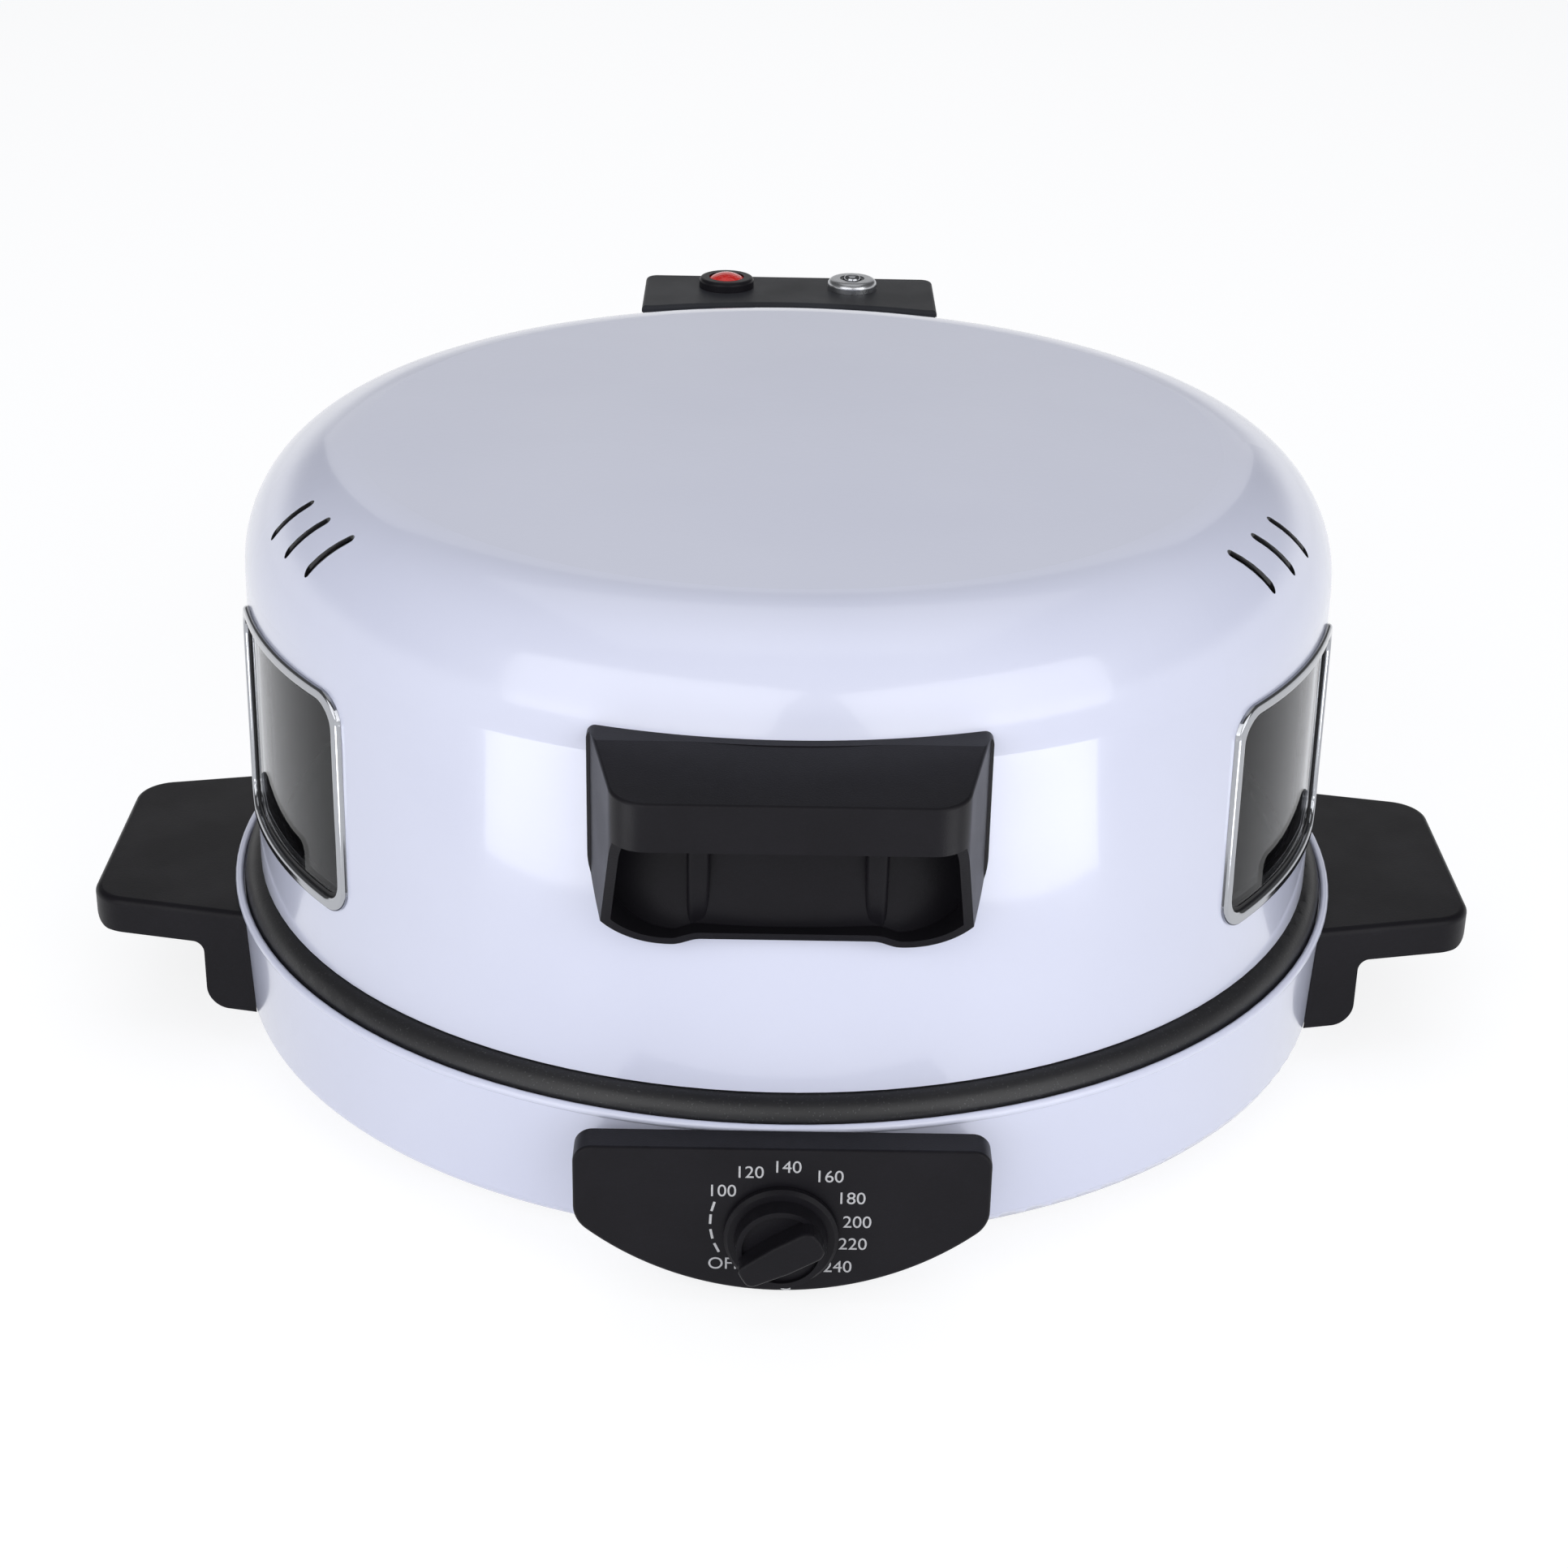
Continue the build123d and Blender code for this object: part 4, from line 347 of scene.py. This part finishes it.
def add_piece(name, mesh, finish, body):
    """A new piece with its place in its mesh, that rides on a body."""
    piece = bpy.data.objects.new(name, mesh)
    bpy.context.scene.collection.objects.link(piece)
    mesh.materials.clear()
    mesh.materials.append(finish.material)
    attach(piece, body)


def word_mesh(word, height):
    """Flat lettering in the XY plane, centred on the origin, with a hair of thickness."""
    curve = bpy.data.curves.new("word", "FONT")
    curve.body = word
    curve.size = height / CAPITAL_SHARE
    curve.align_x = "CENTER"
    curve.extrude = PRINT_THICKNESS / 2
    holder = bpy.data.objects.new("word", curve)
    bpy.context.scene.collection.objects.link(holder)
    bpy.context.view_layer.update()
    depsgraph = bpy.context.evaluated_depsgraph_get()
    mesh = bpy.data.meshes.new_from_object(holder.evaluated_get(depsgraph))
    bpy.data.objects.remove(holder)
    bpy.data.curves.remove(curve)
    mesh.transform(Matrix.Translation((0, -height / 2, 0)))
    return mesh


def dial_print():
    """Numbers, off mark and warming-up dashes on the control panel, round the knob."""
    ink = printed_grey()
    shaft_low, shaft_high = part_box("thermostat_shaft")
    centre = (shaft_low + shaft_high) / 2
    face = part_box("control_panel")[0].y - PRINT_STAND - PRINT_THICKNESS / 2
    upright = Euler((radians(90), 0, 0)).to_matrix().to_4x4()
    for word, right, up in DIAL_WORDS:
        mesh = word_mesh(word, PRINT_HEIGHT)
        mesh.transform(Matrix.Translation((centre.x + right, face, centre.z + up)) @ upright)
        name = "dial_degrees" if "C" in word else "dial_" + word
        add_piece(name, mesh, ink, "base")
    for index, angle in enumerate(DASH_ANGLES):
        dash = bmesh.new()
        bmesh.ops.create_cube(dash, size=1)
        bmesh.ops.scale(dash, vec=(DASH_LENGTH, PRINT_THICKNESS, DASH_WIDTH), verts=dash.verts)
        turn = Matrix.Rotation(radians(angle), 3, "Y")
        bmesh.ops.rotate(dash, cent=(0, 0, 0), matrix=turn, verts=dash.verts)
        right = DASH_RADIUS * sin(radians(angle))
        up = DASH_RADIUS * cos(radians(angle)) + DASH_CENTRE_RISE
        bmesh.ops.translate(dash, vec=(centre.x + right, face, centre.z + up), verts=dash.verts)
        mesh = bpy.data.meshes.new("dash")
        dash.to_mesh(mesh)
        dash.free()
        add_piece(f"dial_dash_{index + 1}", mesh, ink, "base")


def camera():
    """The photograph's own viewpoint: a little above, a little rolled, turned half a degree to the left."""
    data = bpy.data.cameras.new("camera")
    data.lens = CAMERA_LENS
    data.sensor_width = 36
    data.clip_start = 0.01
    data.clip_end = 50
    viewer = bpy.data.objects.new("camera", data)
    bpy.context.scene.collection.objects.link(viewer)
    axis = Matrix.Translation((0, AXIS_Y, 0))
    stand = Matrix.Translation((0, -CAMERA_BACK, CAMERA_HEIGHT))
    tilt = Matrix.Rotation(radians(90 - CAMERA_DOWN), 4, "X") @ Matrix.Rotation(radians(CAMERA_ROLL), 4, "Z")
    viewer.matrix_world = axis @ Matrix.Rotation(radians(CAMERA_ORBIT), 4, "Z") @ stand @ tilt
    bpy.context.scene.camera = viewer


def lamp(name, place, width, height, power):
    """A flat soft light aimed at the object."""
    data = bpy.data.lights.new(name, "AREA")
    data.shape = "RECTANGLE"
    data.size = width
    data.size_y = height
    data.energy = power
    light = bpy.data.objects.new(name, data)
    bpy.context.scene.collection.objects.link(light)
    light.location = place
    light.rotation_euler = (Vector(LAMP_TARGET) - Vector(place)).to_track_quat("-Z", "Y").to_euler()


def tree_node(tree, kind, sockets=None, **settings):
    """A node of the world, the floor or a card, with its settings and its sockets' values or links."""
    made = tree.nodes.new("ShaderNode" + kind)
    for name, value in settings.items():
        setattr(made, name, value)
    for name, value in (sockets or {}).items():
        if isinstance(value, bpy.types.NodeSocket):
            tree.links.new(value, made.inputs[name])
        else:
            made.inputs[name].default_value = value
    return made


def seen_rays(tree):
    """1 for rays that see the background straight, in gloss or through glass, and 0 for light."""
    rays = tree_node(tree, "LightPath").outputs
    gloss = {0: rays["Is Camera Ray"], 1: rays["Is Glossy Ray"]}
    seen = tree_node(tree, "Math", gloss, operation="MAXIMUM")
    glass = {0: seen.outputs[0], 1: rays["Is Transmission Ray"]}
    return tree_node(tree, "Math", glass, operation="MAXIMUM").outputs[0]


def surroundings():
    """White backdrop that ends above the horizon, with an even dim light from all round."""
    world = bpy.data.worlds.new("studio")
    bpy.context.scene.world = world
    world.use_nodes = True
    tree = world.node_tree
    tree.nodes.clear()
    light = tree_node(tree, "Background", {"Color": (0.94, 0.96, 1.0, 1), "Strength": WORLD_LIGHT})
    way = tree_node(tree, "TexCoord")
    height = tree_node(tree, "SeparateXYZ", {0: way.outputs["Generated"]})
    edge = {
        "Value": height.outputs["Z"],
        "From Min": sin(radians(BACKDROP_TOP)),
        "From Max": sin(radians(BACKDROP_END)),
        "To Min": 1.0,
        "To Max": CEILING_SHADE,
    }
    shade = tree_node(tree, "MapRange", edge, interpolation_type="SMOOTHSTEP")
    seen = tree_node(tree, "Background", {"Color": (1, 1, 1, 1), "Strength": shade.outputs[0]})
    mix = tree_node(tree, "MixShader", {0: seen_rays(tree), 1: light.outputs[0], 2: seen.outputs[0]})
    tree_node(tree, "OutputWorld", {0: mix.outputs[0]})


def stage_sheet(name, corners, height, material):
    """A level sheet of the studio with its corners at a height."""
    sheet = bmesh.new()
    sheet.faces.new([sheet.verts.new((x, y, height)) for x, y in corners])
    mesh = bpy.data.meshes.new(name)
    sheet.to_mesh(mesh)
    sheet.free()
    mesh.materials.append(material)
    piece = bpy.data.objects.new(name, mesh)
    bpy.context.scene.collection.objects.link(piece)


def stage_material(name):
    """An empty material of the studio and its node tree."""
    material = bpy.data.materials.new(name)
    material.use_nodes = True
    material.node_tree.nodes.clear()
    material.cycles.emission_sampling = "NONE"
    return material, material.node_tree


def floor():
    """Pale floor that looks white and keeps the object's soft shadow."""
    material, tree = stage_material("floor")
    matt = tree_node(tree, "BsdfDiffuse", {"Color": (0.88, 0.89, 0.92, 1)})
    glow = tree_node(tree, "Emission", {"Color": (1, 1, 1, 1), "Strength": FLOOR_GLOW})
    share = tree_node(tree, "Math", {0: seen_rays(tree), 1: FLOOR_SHARE}, operation="MULTIPLY")
    mix = tree_node(tree, "MixShader", {0: share.outputs[0], 1: matt.outputs[0], 2: glow.outputs[0]})
    tree_node(tree, "OutputMaterial", {0: mix.outputs[0]})
    half = FLOOR_SIZE / 2
    stage_sheet("floor", ((-half, -half), (half, -half), (half, half), (-half, half)), 0, material)


def cards():
    """Bright cards that only gloss sees."""
    material, tree = stage_material("card")
    gloss = tree_node(tree, "LightPath").outputs["Is Glossy Ray"]
    clear = tree_node(tree, "BsdfTransparent")
    glow = tree_node(tree, "Emission", {"Color": (0.98, 0.99, 1, 1), "Strength": CARD_GLOW})
    mix = tree_node(tree, "MixShader", {0: gloss, 1: clear.outputs[0], 2: glow.outputs[0]})
    tree_node(tree, "OutputMaterial", {0: mix.outputs[0]})
    for name, corners in (("left_card", LEFT_CARD), ("right_card", RIGHT_CARD)):
        stage_sheet(name, [(right, AXIS_Y - ahead) for right, ahead in corners], CARD_HEIGHT, material)


def studio():
    """White surroundings, a pale floor and broad soft lights."""
    surroundings()
    floor()
    cards()
    for name, (place, width, height, power) in LAMPS.items():
        lamp(name, place, width, height, power)


dress_nodes()
dial_print()
camera()
studio()
bpy.context.scene.view_settings.view_transform = "Standard"
